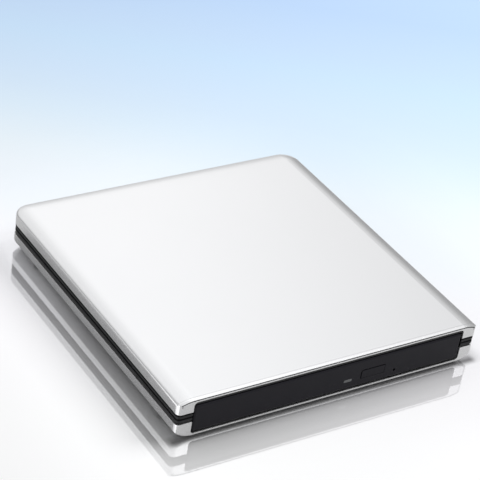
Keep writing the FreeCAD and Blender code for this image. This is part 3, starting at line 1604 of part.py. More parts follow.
def pickup_carriage():
    """Sled that carries the optics, with a bored sleeve on each guide rod."""
    back = LENS_INNER - CARRIAGE_BACK
    front = LENS_INNER + CARRIAGE_FRONT
    body = block(back, front, -CARRIAGE_HALF, CARRIAGE_HALF, SLEEVE_LOW, CARRIAGE_TOP)
    keel = block(
        back + 1,
        front - 1,
        -CARRIAGE_HALF + 1,
        CARRIAGE_HALF - 1,
        PLATE_TOP + FRAME_LIFT / 2,
        SLEEVE_LOW,
    )
    reach = ROD_SPREAD + ROD_RADIUS + SLEEVE_WALL
    sleeves = block(back, back + SLEEVE_LENGTH, -reach, reach, SLEEVE_LOW, SLEEVE_TOP)
    yoke = block(
        back + 1,
        LENS_INNER - LENS_HOLDER_HALF - 1.6,
        -LENS_HOLDER_HALF_WIDTH,
        LENS_HOLDER_HALF_WIDTH,
        CARRIAGE_TOP,
        CARRIAGE_TOP + LENS_HOLDER_HEIGHT,
    )
    carriage = joined([body, keel, sleeves, yoke])
    bores = [
        bar(Vector(0, v, ROD_Z), Vector(1, 0, 0), 2 * LENS_OUTER, ROD_RADIUS + ROD_CLEARANCE)
        for v in (-ROD_SPREAD, ROD_SPREAD)
    ]
    return at_hub(carriage.cut(bores))


def lead_nut():
    back = LENS_INNER - CARRIAGE_BACK
    inner = ROD_SPREAD + ROD_RADIUS + SLEEVE_WALL
    reach = SCREW_V + LEAD_RADIUS + LEAD_CLEARANCE + SLEEVE_WALL
    nut = block(back, back + NUT_LENGTH, inner, reach, SLEEVE_LOW, SLEEVE_TOP)
    bore = bar(Vector(0, SCREW_V, ROD_Z), Vector(1, 0, 0), LENS_OUTER, LEAD_RADIUS + LEAD_CLEARANCE)
    return at_hub(nut.cut(bore))


HOLDER_LOW = CARRIAGE_TOP + LENS_HOLDER_GAP
HOLDER_TOP = HOLDER_LOW + LENS_HOLDER_HEIGHT


def lens_holder():
    holder = block(
        LENS_INNER - LENS_HOLDER_HALF,
        LENS_INNER + LENS_HOLDER_HALF,
        -LENS_HOLDER_HALF_WIDTH,
        LENS_HOLDER_HALF_WIDTH,
        HOLDER_LOW,
        HOLDER_TOP,
    )
    return at_hub(holder.cut(post(LENS_INNER, 0, 0, CASE_TOP, LENS_RADIUS)))


def objective_lens():
    """Lens disc with a low dome, seated in the holder's bore."""
    disc = post(LENS_INNER, 0, HOLDER_LOW, HOLDER_TOP, LENS_RADIUS)
    ball = (LENS_RADIUS**2 + LENS_DOME**2) / (2 * LENS_DOME)
    dome = Part.makeSphere(ball, Vector(LENS_INNER, 0, HOLDER_TOP + LENS_DOME - ball))
    dome = dome.common(post(LENS_INNER, 0, HOLDER_TOP, HOLDER_TOP + 1, LENS_RADIUS))
    return at_hub(joined([disc, dome]))


LEAD_START = ROD_START - 2.0


def sled_motor():
    low = LEAD_START - MOTOR_LENGTH
    body = bar(Vector(low, SCREW_V, ROD_Z), Vector(1, 0, 0), MOTOR_LENGTH, MOTOR_RADIUS)
    flange = block(
        LEAD_START - 1,
        LEAD_START,
        SCREW_V - BRACKET_HALF,
        SCREW_V + BRACKET_HALF,
        FRAME_TOP,
        CARRIAGE_TOP,
    )
    cradle = block(low, LEAD_START, SCREW_V - 1, SCREW_V + 1, FRAME_TOP, ROD_Z)
    motor = joined([body, flange, cradle])
    bore = bar(
        Vector(LEAD_START - 3, SCREW_V, ROD_Z), Vector(1, 0, 0), 4, LEAD_ROOT_RADIUS + SCREW_GAP
    )
    return at_hub(motor.cut(bore))


def lead_screw():
    """Threaded spindle, turned from one zigzag profile."""
    start = LEAD_START + FIT_GAP
    end = ROD_END - BRACKET_THICKNESS - FIT_GAP
    shaft_start = LEAD_START - 2.5
    shaft_end = ROD_END - FIT_GAP
    points = [(shaft_start, 0), (shaft_start, LEAD_ROOT_RADIUS), (start, LEAD_ROOT_RADIUS)]
    turns = int((end - start) / LEAD_PITCH)
    pitch = (end - start) / turns
    for turn in range(turns):
        points.append((start + (turn + 0.35) * pitch, LEAD_RADIUS))
        points.append((start + (turn + 0.65) * pitch, LEAD_RADIUS))
        points.append((start + (turn + 1) * pitch, LEAD_ROOT_RADIUS))
    points += [(shaft_end, LEAD_ROOT_RADIUS), (shaft_end, 0)]
    corners = [Vector(u, 0, height) for u, height in points]
    profile = Part.Face(Part.makePolygon(corners + corners[:1]))
    screw = profile.revolve(Vector(), Vector(1, 0, 0), 360)
    screw.translate(Vector(0, SCREW_V, ROD_Z))
    return at_hub(screw)


def main_board():
    board = block(BOARD_LEFT, BOARD_RIGHT, BOARD_FRONT, BOARD_REAR, BOARD_BOTTOM, BOARD_TOP)
    return board


def chips(left, right, front, rear, base, sizes):
    """Chips on a board: each one's centre as shares of the board, then its two sides."""
    pieces = []
    for share_x, share_y, width, depth in sizes:
        x = left + share_x * (right - left)
        y = front + share_y * (rear - front)
        pieces.append(
            block(
                x - width / 2,
                x + width / 2,
                y - depth / 2,
                y + depth / 2,
                base,
                base + CHIP_HEIGHT,
            )
        )
    return group(pieces)


def board_chips():
    sizes = (
        (0.28, 0.59, PROCESSOR_SIZE, PROCESSOR_SIZE),
        (0.59, 0.66, MEMORY_WIDTH, MEMORY_DEPTH),
        (0.78, 0.39, DRIVER_SIZE, DRIVER_SIZE),
        (0.5, 0.23, REGULATOR_WIDTH, REGULATOR_DEPTH),
        (0.76, 0.72, CRYSTAL_WIDTH, CRYSTAL_DEPTH),
    )
    return chips(BOARD_LEFT, BOARD_RIGHT, BOARD_FRONT, BOARD_REAR, BOARD_TOP, sizes)


RIBBON_RIGHT = RIBBON_LEFT + RIBBON_WIDTH
RIBBON_LOW = PAN_TOP + RIBBON_GAP
RIBBON_HIGH = PLATE_BOTTOM - RIBBON_GAP - RIBBON_THICKNESS
RIBBON_END_Y = TRAY_REAR - RIBBON_END_INSET
RIBBON_ROOT_Y = PAN_REAR - RIBBON_ROOT_INSET
SOCKET_LOW = CONNECTOR_BOARD_TOP
CONNECTOR_BOARD_FRONT = RIBBON_ROOT_Y - SOCKET_DEPTH - 1


def ribbon_cable():
    """Flat cable that folds under the tray, seen from the side as a long hairpin."""
    t = RIBBON_THICKNESS
    root_z = SOCKET_LOW + SOCKET_HEIGHT / 2 - t / 2
    ramp_start = CONNECTOR_BOARD_FRONT - 2.5
    ramp_end = CONNECTOR_BOARD_FRONT - 0.3
    fold_z = (RIBBON_LOW + RIBBON_HIGH + t) / 2
    outer = (RIBBON_HIGH + t - RIBBON_LOW) / 2
    inner = outer - t
    fold = RIBBON_FOLD_Y
    tip = BOARD_BOTTOM - 2 * RIBBON_GAP

    def point(y, z):
        return Vector(RIBBON_LEFT, y, z)

    path = [
        Part.makePolygon(
            [
                point(fold, RIBBON_LOW),
                point(ramp_start, RIBBON_LOW),
                point(ramp_end, root_z),
                point(RIBBON_ROOT_Y - 1, root_z),
                point(RIBBON_ROOT_Y - 1, root_z + t),
                point(ramp_end, root_z + t),
                point(ramp_start, RIBBON_LOW + t),
                point(fold, RIBBON_LOW + t),
            ]
        ),
        Part.Arc(
            point(fold, RIBBON_LOW + t), point(fold - inner, fold_z), point(fold, RIBBON_HIGH)
        ).toShape(),
        Part.makePolygon(
            [
                point(fold, RIBBON_HIGH),
                point(RIBBON_END_Y + t / 2, RIBBON_HIGH),
                point(RIBBON_END_Y + t / 2, tip),
                point(RIBBON_END_Y - t / 2, tip),
                point(RIBBON_END_Y - t / 2, RIBBON_HIGH + t),
                point(fold, RIBBON_HIGH + t),
            ]
        ),
        Part.Arc(
            point(fold, RIBBON_HIGH + t), point(fold - outer, fold_z), point(fold, RIBBON_LOW)
        ).toShape(),
    ]
    edges = [edge for piece in path for edge in piece.Edges]
    face = Part.Face(Part.Wire(edges))
    return face.extrude(Vector(RIBBON_WIDTH, 0, 0))


def tray_ribbon_socket():
    half = TRAY_SOCKET_DEPTH / 2
    body = block(
        RIBBON_LEFT - SHEET,
        RIBBON_RIGHT + SHEET,
        RIBBON_END_Y - half + FIT_GAP,
        RIBBON_END_Y + half - FIT_GAP,
        PLATE_TOP,
        BOARD_BOTTOM,
    )
    gap = RIBBON_THICKNESS / 2 + SOCKET_SLOT_GAP
    slot = block(
        RIBBON_LEFT - SOCKET_SLOT_GAP,
        RIBBON_RIGHT + SOCKET_SLOT_GAP,
        RIBBON_END_Y - gap,
        RIBBON_END_Y + gap,
        0,
        BOARD_BOTTOM - RIBBON_GAP,
    )
    return body.cut(slot)


def ribbon_socket():
    front = RIBBON_ROOT_Y - SOCKET_DEPTH
    low = SOCKET_LOW
    body = block(
        RIBBON_LEFT - SHEET, RIBBON_RIGHT + SHEET, front, RIBBON_ROOT_Y, low, low + SOCKET_HEIGHT
    )
    middle = low + SOCKET_HEIGHT / 2
    gap = RIBBON_THICKNESS / 2 + SOCKET_SLOT_GAP
    slot = block(
        RIBBON_LEFT - SOCKET_SLOT_GAP,
        RIBBON_RIGHT + SOCKET_SLOT_GAP,
        front - 1,
        RIBBON_ROOT_Y - 0.5,
        middle - gap,
        middle + gap,
    )
    return body.cut(slot)


def connector_board():
    return block(
        RIBBON_LEFT - 2,
        CONNECTOR_RIGHT + 2,
        CONNECTOR_BOARD_FRONT,
        PAN_REAR - SHEET,
        PAN_TOP,
        CONNECTOR_BOARD_TOP,
    )


def drive_connector():
    """Plug block of the drive, hollow towards the rear, with a contact tongue."""
    body = block(
        CONNECTOR_LEFT,
        CONNECTOR_RIGHT,
        CONNECTOR_FRONT,
        CONNECTOR_REAR,
        CONNECTOR_BOARD_TOP,
        CONNECTOR_TOP,
    )
    cavity = block(
        CONNECTOR_LEFT + CONNECTOR_WALL,
        CONNECTOR_RIGHT - CONNECTOR_WALL,
        CONNECTOR_REAR - CONNECTOR_CAVITY,
        CONNECTOR_REAR + 1,
        CONNECTOR_BOARD_TOP + CONNECTOR_WALL,
        CONNECTOR_TOP - CONNECTOR_WALL,
    )
    return body.cut(cavity)


def sata_receptacle():
    """Block under the bridge board whose nose enters the drive's plug."""
    rear = BRIDGE_FRONT + RECEPTACLE_DEPTH
    body = block(
        CONNECTOR_LEFT,
        CONNECTOR_RIGHT,
        CONNECTOR_REAR + CONNECTOR_CLEARANCE,
        rear,
        CONNECTOR_BOARD_TOP + CONNECTOR_WALL,
        BRIDGE_BOTTOM,
    )
    inset = CONNECTOR_WALL + CONNECTOR_CLEARANCE
    nose = block(
        CONNECTOR_LEFT + inset,
        CONNECTOR_RIGHT - inset,
        CONNECTOR_REAR - CONNECTOR_CAVITY + CONNECTOR_CLEARANCE,
        rear,
        CONNECTOR_BOARD_TOP + inset,
        CONNECTOR_TOP - inset,
    )
    return joined([body, nose])


def bridge_board():
    board = block(
        BRIDGE_LEFT,
        BRIDGE_RIGHT,
        BRIDGE_FRONT,
        BRIDGE_FRONT + BRIDGE_DEPTH,
        BRIDGE_BOTTOM,
        BRIDGE_TOP,
    )
    holes = [post(x, y, 0, CASE_TOP, SMALL_SCREW_RADIUS + SCREW_GAP) for x, y in bridge_post_places()]
    return board.cut(holes)


def board_screws():
    length = BRIDGE_TOP - FLOOR_TOP - SHEET - FIT_GAP
    return group([small_screw(x, y, BRIDGE_TOP, length, False) for x, y in bridge_post_places()])


def bridge_chips():
    sizes = (
        (0.56, 0.47, DRIVER_SIZE, DRIVER_SIZE),
        (0.73, 0.45, REGULATOR_WIDTH, REGULATOR_DEPTH),
        (0.41, 0.49, CRYSTAL_DEPTH, CRYSTAL_WIDTH),
        (0.84, 0.45, CRYSTAL_WIDTH, CRYSTAL_DEPTH),
    )
    rear = BRIDGE_FRONT + BRIDGE_DEPTH
    return chips(BRIDGE_LEFT, BRIDGE_RIGHT, BRIDGE_FRONT, rear, BRIDGE_TOP, sizes)


def inlet_socket():
    """Five-pin mini socket for the data cable, its mouth in the side band."""
    rear = CASE_REAR - BAND_RECESS
    front = rear - INLET_DEPTH
    half = INLET_WIDTH / 2
    top = BRIDGE_TOP + INLET_HEIGHT
    shell = upright_prism(
        INLET_X - half, INLET_X + half, BRIDGE_TOP, top, front, rear, INLET_HEIGHT / 4, INLET_WALL
    )
    hollow = upright_prism(
        INLET_X - half + INLET_WALL,
        INLET_X + half - INLET_WALL,
        BRIDGE_TOP + INLET_WALL,
        top - INLET_WALL,
        front + 1,
        rear + 1,
        INLET_HEIGHT / 4 - INLET_WALL,
        INLET_WALL / 2,
    )
    middle = (BRIDGE_TOP + top) / 2
    tongue = block(
        INLET_X - half / 2,
        INLET_X + half / 2,
        front,
        rear - 1,
        middle - INLET_TONGUE / 2,
        middle + INLET_TONGUE / 2,
    )
    return joined([shell.cut(hollow), tongue])


SOLENOID_BOTTOM = PLATE_TOP
SOLENOID_FRONT = TRAY_FRONT + SOLENOID_FRONT_GAP
PLUNGER_Y = SOLENOID_FRONT + SOLENOID_DEPTH / 2
PLUNGER_Z = SOLENOID_BOTTOM + SOLENOID_HEIGHT / 2


def solenoid_body():
    body = block(
        SOLENOID_LEFT,
        SOLENOID_LEFT + SOLENOID_WIDTH,
        SOLENOID_FRONT,
        SOLENOID_FRONT + SOLENOID_DEPTH,
        SOLENOID_BOTTOM,
        SOLENOID_BOTTOM + SOLENOID_HEIGHT,
    )
    bore = bar(
        Vector(SOLENOID_LEFT - 1, PLUNGER_Y, PLUNGER_Z),
        Vector(1, 0, 0),
        PLUNGER_BORE + 1,
        PLUNGER_RADIUS + PLUNGER_CLEARANCE,
    )
    return body.cut(bore)


def solenoid_plunger():
    start = SOLENOID_LEFT - PLUNGER_REACH
    length = PLUNGER_REACH + PLUNGER_BORE - 1
    return bar(Vector(start, PLUNGER_Y, PLUNGER_Z), Vector(1, 0, 0), length, PLUNGER_RADIUS)


def lock_lever():
    """Flat lever that hooks the catch post, with a bent-up tab for the release pin."""
    eye = post(LEVER_X, LEVER_Y, LEVER_BOTTOM, LEVER_TOP, LEVER_EYE_RADIUS)
    arm = block(
        LEVER_X - LEVER_ARM_WIDTH / 4,
        LEVER_X + 3 * LEVER_ARM_WIDTH / 4,
        LEVER_Y,
        LEVER_Y + LEVER_REACH,
        LEVER_BOTTOM,
        LEVER_TOP,
    )
    hook = block(
        LEVER_X,
        LEVER_X + LEVER_HOOK,
        LEVER_Y + LEVER_REACH - LEVER_HOOK_WIDTH,
        LEVER_Y + LEVER_REACH,
        LEVER_BOTTOM,
        LEVER_TOP,
    )
    foot = block(
        LEVER_X,
        LEVER_X + LEVER_TAB_RIGHT,
        LEVER_Y - LEVER_TAB_Y - LEVER_SHEET,
        LEVER_Y,
        LEVER_BOTTOM,
        LEVER_TOP,
    )
    tab = block(
        LEVER_X + LEVER_TAB_LEFT,
        LEVER_X + LEVER_TAB_RIGHT,
        LEVER_Y - LEVER_TAB_Y - LEVER_SHEET,
        LEVER_Y - LEVER_TAB_Y,
        LEVER_BOTTOM,
        LEVER_TOP + LEVER_TAB_HEIGHT,
    )
    lug = block(
        LEVER_X + LEVER_TAB_RIGHT - LEVER_SHEET,
        LEVER_X + LEVER_TAB_RIGHT,
        LEVER_Y - LEVER_TAB_Y - LEVER_SHEET,
        LEVER_Y - LEVER_TAB_Y + LEVER_LUG_LENGTH,
        LEVER_BOTTOM,
        LEVER_TOP + LEVER_TAB_HEIGHT,
    )
    lever = joined([eye, arm, hook, foot, tab, lug])
    return lever.cut(post(LEVER_X, LEVER_Y, 0, CASE_TOP, LEVER_PIN_RADIUS + LEVER_PIN_CLEARANCE))


def catch_post():
    x = LEVER_X + CATCH_OFFSET_X
    y = LEVER_Y + CATCH_OFFSET_Y
    return post(x, y, PAN_TOP, PLATE_BOTTOM - FIT_GAP, CATCH_RADIUS)


EJECTOR_X = CHANNEL_INNER - EJECTOR_INSET
EJECTOR_REAR = TRAY_REAR - SLIDE_GAP
EJECTOR_FRONT = EJECTOR_REAR - EJECTOR_LENGTH
EJECTOR_Z = (PLATE_TOP + DECK_BOTTOM) / 2
EJECTOR_HEAD_Y = EJECTOR_REAR - EJECTOR_WALL - EJECTOR_STROKE - EJECTOR_HEAD - SLIDE_GAP


def ejector_housing():
    half = EJECTOR_WIDTH / 2
    body = block(
        EJECTOR_X - half, EJECTOR_X + half, EJECTOR_FRONT, EJECTOR_REAR, PLATE_TOP, DECK_BOTTOM
    )
    bore = bar(
        Vector(EJECTOR_X, EJECTOR_FRONT + EJECTOR_WALL, EJECTOR_Z),
        Vector(0, 1, 0),
        EJECTOR_REAR - EJECTOR_FRONT - 2 * EJECTOR_WALL,
        EJECTOR_BORE,
    )
    hole = bar(
        Vector(EJECTOR_X, EJECTOR_REAR - 2 * EJECTOR_WALL, EJECTOR_Z),
        Vector(0, 1, 0),
        4 * EJECTOR_WALL,
        EJECTOR_SHAFT_RADIUS + EJECTOR_CLEARANCE,
    )
    return body.cut([bore, hole])


def ejector_pin():
    """Plunger that pushes off the rear wall to start the tray on its way out."""
    tip = PAN_REAR - SHEET - EJECTOR_TIP_GAP
    axis = Vector(0, 1, 0)
    start = Vector(EJECTOR_X, EJECTOR_HEAD_Y, EJECTOR_Z)
    head = bar(start, axis, EJECTOR_HEAD, EJECTOR_HEAD_RADIUS)
    shaft = bar(start, axis, tip - EJECTOR_HEAD_Y, EJECTOR_SHAFT_RADIUS)
    return joined([head, shaft])


def helix_point(radius, pitch, turn):
    """Place and direction on a helix round Z after a number of turns."""
    angle = 2 * math.pi * turn
    place = Vector(radius * math.cos(angle), radius * math.sin(angle), pitch * turn)
    direction = Vector(-math.sin(angle), math.cos(angle), pitch / (2 * math.pi * radius))
    return place, direction.normalize()


def tangent_arc(start, direction, end):
    """Arc that leaves start in a direction and ends at end."""
    chord = end - start
    across = chord - direction * chord.dot(direction)
    across.normalize()
    radius = chord.Length**2 / (2 * chord.dot(across))
    centre = start + across * radius
    middle = (start + end) / 2 - centre
    middle.normalize()
    return Part.Arc(start, centre + middle * radius, end).toShape()


def coil(radius, wire, pitch, turns):
    """Round wire wound on a helix, each quarter turn being two tangent arcs."""
    arcs = []
    for quarter in range(4 * turns):
        start, first = helix_point(radius, pitch, quarter / 4)
        end, last = helix_point(radius, pitch, (quarter + 1) / 4)
        both = first + last
        spread = 2 * (1 - first.dot(last))
        chord = end - start
        along = chord.dot(both)
        reach = (math.sqrt(along**2 + spread * chord.dot(chord)) - along) / spread
        meeting = (start + first * reach + end - last * reach) / 2
        arcs += [tangent_arc(start, first, meeting), tangent_arc(end, last * -1, meeting)]
    start, first = helix_point(radius, pitch, 0)
    section = Part.Wire(Part.Circle(start, first, wire / 2).toShape())
    return Part.Wire(Part.__sortEdges__(arcs)).makePipeShell([section], True, False)


def ejector_spring():
    """Compression spring between the housing's front wall and the pin's head."""
    start = EJECTOR_FRONT + EJECTOR_WALL + SPRING_WIRE
    length = EJECTOR_HEAD_Y - SPRING_WIRE - start
    pitch = length / SPRING_TURNS
    print("gap between the spring's turns", round(pitch - SPRING_WIRE, 2))
    spring = coil(SPRING_RADIUS, SPRING_WIRE, pitch, SPRING_TURNS)
    spring.rotate(Vector(), Vector(1, 0, 0), -90)
    spring.translate(Vector(EJECTOR_X, start, EJECTOR_Z))
    return spring


NODES = {
    "top_cover": top_cover,
    "bottom_cover": bottom_cover,
    "side_band": side_band,
    "rubber_feet": rubber_feet,
    "case_screws": case_screws,
    "drive_brackets": drive_brackets,
    "bracket_screws": bracket_screws,
    "bridge_board": bridge_board,
    "bridge_chips": bridge_chips,
    "board_screws": board_screws,
    "inlet_socket": inlet_socket,
    "sata_receptacle": sata_receptacle,
    "drive_chassis": drive_chassis,
    "drive_lid": drive_lid,
    "lid_screws": lid_screws,
    "left_rail_guide": lambda: rail_guide(-1),
    "right_rail_guide": lambda: rail_guide(1),
    "connector_board": connector_board,
    "drive_connector": drive_connector,
    "ribbon_socket": ribbon_socket,
    "catch_post": catch_post,
    "left_rail": lambda: rail(-1),
    "right_rail": lambda: rail(1),
    "disc_tray": disc_tray,
    "bezel": bezel,
    "light_lens": lambda: light_window(0),
    "traverse_cover": traverse_cover,
    "traverse_frame": traverse_frame,
    "damper_grommets": damper_grommets,
    "traverse_screws": traverse_screws,
    "tray_bottom_plate": tray_bottom_plate,
    "plate_screws": plate_screws,
    "spindle_stator": spindle_stator,
    "main_guide_rod": lambda: guide_rod(ROD_SPREAD),
    "side_guide_rod": lambda: guide_rod(-ROD_SPREAD),
    "sled_motor": sled_motor,
    "main_board": main_board,
    "board_chips": board_chips,
    "tray_ribbon_socket": tray_ribbon_socket,
    "front_board": front_board,
    "eject_switch": eject_switch,
    "solenoid_body": solenoid_body,
    "ejector_housing": ejector_housing,
    "ribbon_cable": ribbon_cable,
    "disc_hub": disc_hub,
    "turntable_pad": turntable_pad,
    "hub_claw_1": lambda: hub_claw(0),
    "hub_claw_2": lambda: hub_claw(1),
    "hub_claw_3": lambda: hub_claw(2),
    "pickup_carriage": pickup_carriage,
    "lead_nut": lead_nut,
    "lens_holder": lens_holder,
    "objective_lens": objective_lens,
    "lead_screw": lead_screw,
    "eject_button": eject_button,
    "lock_lever": lock_lever,
    "solenoid_plunger": solenoid_plunger,
    "ejector_pin": ejector_pin,
    "ejector_spring": ejector_spring,
}

os.makedirs("parts", exist_ok=True)
for name, make in NODES.items():
    shape = make()
    shape.exportStep("parts/" + name + ".step")
    volume = sum(solid.Volume for solid in shape.Solids)
    print(name, "solids", len(shape.Solids), "valid", shape.isValid(), "volume", round(volume, 2))
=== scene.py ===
"""External disc drive: silver case, ribbed black band, sliding tray with its mechanism."""

import json
import math

import bpy
from mathutils import Matrix, Vector

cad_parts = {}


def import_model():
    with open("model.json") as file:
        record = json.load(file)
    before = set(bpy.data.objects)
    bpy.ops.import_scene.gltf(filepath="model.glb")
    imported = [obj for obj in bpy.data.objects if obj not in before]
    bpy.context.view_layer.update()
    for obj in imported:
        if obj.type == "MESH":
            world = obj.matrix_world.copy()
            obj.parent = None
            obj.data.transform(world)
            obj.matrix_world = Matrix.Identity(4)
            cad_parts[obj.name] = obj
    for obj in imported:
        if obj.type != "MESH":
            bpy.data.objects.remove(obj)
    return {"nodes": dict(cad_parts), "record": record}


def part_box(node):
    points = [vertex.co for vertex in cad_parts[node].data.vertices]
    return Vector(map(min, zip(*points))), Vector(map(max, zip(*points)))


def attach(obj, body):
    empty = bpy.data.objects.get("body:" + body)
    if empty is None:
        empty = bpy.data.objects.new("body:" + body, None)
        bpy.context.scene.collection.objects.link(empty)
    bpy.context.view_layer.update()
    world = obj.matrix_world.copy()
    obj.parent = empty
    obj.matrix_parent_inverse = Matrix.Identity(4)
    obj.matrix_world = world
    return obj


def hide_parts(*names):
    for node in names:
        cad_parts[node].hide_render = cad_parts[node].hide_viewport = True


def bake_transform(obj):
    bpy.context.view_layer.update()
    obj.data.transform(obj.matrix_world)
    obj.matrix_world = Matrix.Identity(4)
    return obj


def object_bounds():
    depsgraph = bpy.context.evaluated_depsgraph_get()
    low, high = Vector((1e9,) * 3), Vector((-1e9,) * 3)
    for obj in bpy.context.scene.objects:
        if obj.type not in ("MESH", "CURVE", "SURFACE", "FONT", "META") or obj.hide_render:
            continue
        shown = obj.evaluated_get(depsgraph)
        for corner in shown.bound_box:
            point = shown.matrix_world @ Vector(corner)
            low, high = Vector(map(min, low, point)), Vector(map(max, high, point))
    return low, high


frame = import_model()
CAD_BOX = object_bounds()
NODES = frame["nodes"]
MM = 0.001

# Camera, found by matching the case's edges to the photograph
CAMERA_AIM = Vector((17.08, 25.963, 9.75)) * MM
CAMERA_DISTANCE = 826.26 * MM
CAMERA_AZIMUTH = math.radians(36.907)
CAMERA_DROP = math.radians(32.981)
CAMERA_ROLL = math.radians(9.598)
CAMERA_LENS = 142.95
CAMERA_SENSOR = 36.0
CAMERA_NEAR = 0.01

# Studio floor: white in front, pale blue far behind, measured along FLOOR_AWAY from the origin
FLOOR_SIZE = 6.0
FLOOR_AWAY = (0.592, 0.807, 0.0)
FLOOR_TINTS = (
    (-0.10, (255, 255, 255)),
    (-0.03, (254, 253, 255)),
    (0.02, (252, 252, 255)),
    (0.05, (245, 250, 255)),
    (0.08, (241, 248, 254)),
    (0.10, (236, 246, 253)),
    (0.134, (223, 239, 252)),
    (0.155, (216, 234, 251)),
    (0.175, (211, 231, 251)),
    (0.213, (203, 227, 250)),
    (0.24, (199, 222, 248)),
    (0.29, (190, 215, 246)),
)

# Light that the floor throws back, with a painted pool of light in a fan from the case's front left
# corner, for that corner's highlight.
# The fan lies between two slopes, each faded over a further step in slope.
FLOOR_BOUNCE = 0.60
CORNER_BOUNCE = 1.5
CORNER_SLOPES = (-0.8, 1.05)
CORNER_FADES = (0.2, 0.15)
CORNER_START = 1.0 * MM
CORNER_LEAST_REACH = 0.1 * MM

# Mirror image in the floor: its share at each distance from the case
FLOOR_MIRROR_ROUGHNESS = 0.04
FLOOR_MIRROR = (
    (0.0, 0.62),
    (0.003, 0.58),
    (0.007, 0.46),
    (0.014, 0.36),
    (0.03, 0.30),
    (0.05, 0.12),
    (0.075, 0.0),
)

# Contact shade on the floor, before the front edge and beside the case, where it fades with y
CONTACT_SHADE = 0.35
CONTACT_REACH = 3.5 * MM
CONTACT_FADE = 4.0 * MM
SIDE_SHADE = 0.72
SIDE_REACH = 9.0 * MM
SIDE_FADE = (-0.02, 0.06)

# Sky that lights the part, and the softer one that its glossy surfaces reflect
SKY_COLOUR = (0.985, 0.99, 1.0)
SKY_SEEN = (0.95, 0.95, 0.95)
SKY_LIGHT = 0.62
SKY_LIGHT_FROM = 0.9
HORIZON_LIGHT = 0.32
REFLECTED_LIGHT = 1.16
REFLECTED_ACROSS = (
    (-1.0, 0.62),
    (-0.2, 0.71),
    (-0.05, 0.75),
    (0.1, 0.80),
    (0.24, 0.89),
    (0.38, 0.99),
    (0.46, 1.0),
    (0.58, 0.76),
    (0.68, 0.50),
    (0.76, 0.38),
    (1.0, 0.36),
)
REFLECTED_UP = (
    (-0.1, 0.58),
    (0.05, 0.62),
    (0.14, 0.68),
    (0.24, 0.77),
    (0.36, 0.90),
    (0.45, 0.99),
    (0.70, 1.0),
    (0.75, 1.02),
    (0.81, 1.28),
    (0.90, 1.15),
    (1.0, 0.98),
)

# Key lamp, a square area at the right that aims at the origin
KEY_PLACE = (0.905, -0.16, 0.92)
KEY_SIZE = 0.7
KEY_POWER = 12.0

# Corners of the case in plan
CASE_FRONT_RADIUS = 2.0 * MM
CASE_REAR_RADIUS = 8.0 * MM

# Painted shade inside the groove under the front lip, inside the case's outline, falling with the
# roof at both ends
GROOVE_INSIDE = -0.06 * MM
GROOVE_BACK = -71.25 * MM
GROOVE_REACH = 70.5 * MM
GROOVE_Z = (17.1 * MM, 18.17 * MM)
GROOVE_FALL_FROM = 64.5 * MM
GROOVE_FALL_RADIUS = 16.56 * MM
GROOVE_SHADE = (0.07, 0.07, 0.073)

# Fine line pressed into the roof just inside its rim, with the heights where it fades in. Its bump
# is real, and RIM_LINE_SHADE darkens its colour as painted shade
RIM_LINE_LOW = (-71.18 * MM, -70.55 * MM)
RIM_LINE_HIGH = (71.18 * MM, 71.65 * MM)
RIM_LINE_FRONT_RADIUS = 1.2 * MM
RIM_LINE_REAR_RADIUS = 7.65 * MM
RIM_LINE_WIDTH = 0.34 * MM
RIM_LINE_CORE = 0.2
RIM_LINE_RISE = (13.5 * MM, 13.9 * MM)
RIM_LINE_DEPTH = 0.00003
RIM_LINE_SHADE = 0.80

# Side band: how deep the grooves and the ribs' faces lie inside the case's outline, and the share
# of its colour that is left in the grooves, a painted shade that makes the ribs read lighter
RIB_ROOT = -0.45 * MM
RIB_FACE = -0.25 * MM
RIB_ROOT_SHADE = 0.02

# What all finishes share: the blur of a mask's edge, the range that a soft pattern mostly covers,
# how rough a noise is and how finely softened edges are sampled
MASK_BLUR = 0.01 * MM
PATTERN_RANGE = (0.3, 0.7)
NOISE_ROUGHNESS = 0.55
BEVEL_SAMPLES = 4


def linear(value):
    """Light intensity of one 8-bit colour value."""
    share = value / 255
    return share / 12.92 if share < 0.04045 else ((share + 0.055) / 1.055) ** 2.4


def scaled(colour, share):
    return tuple(share * value for value in colour)


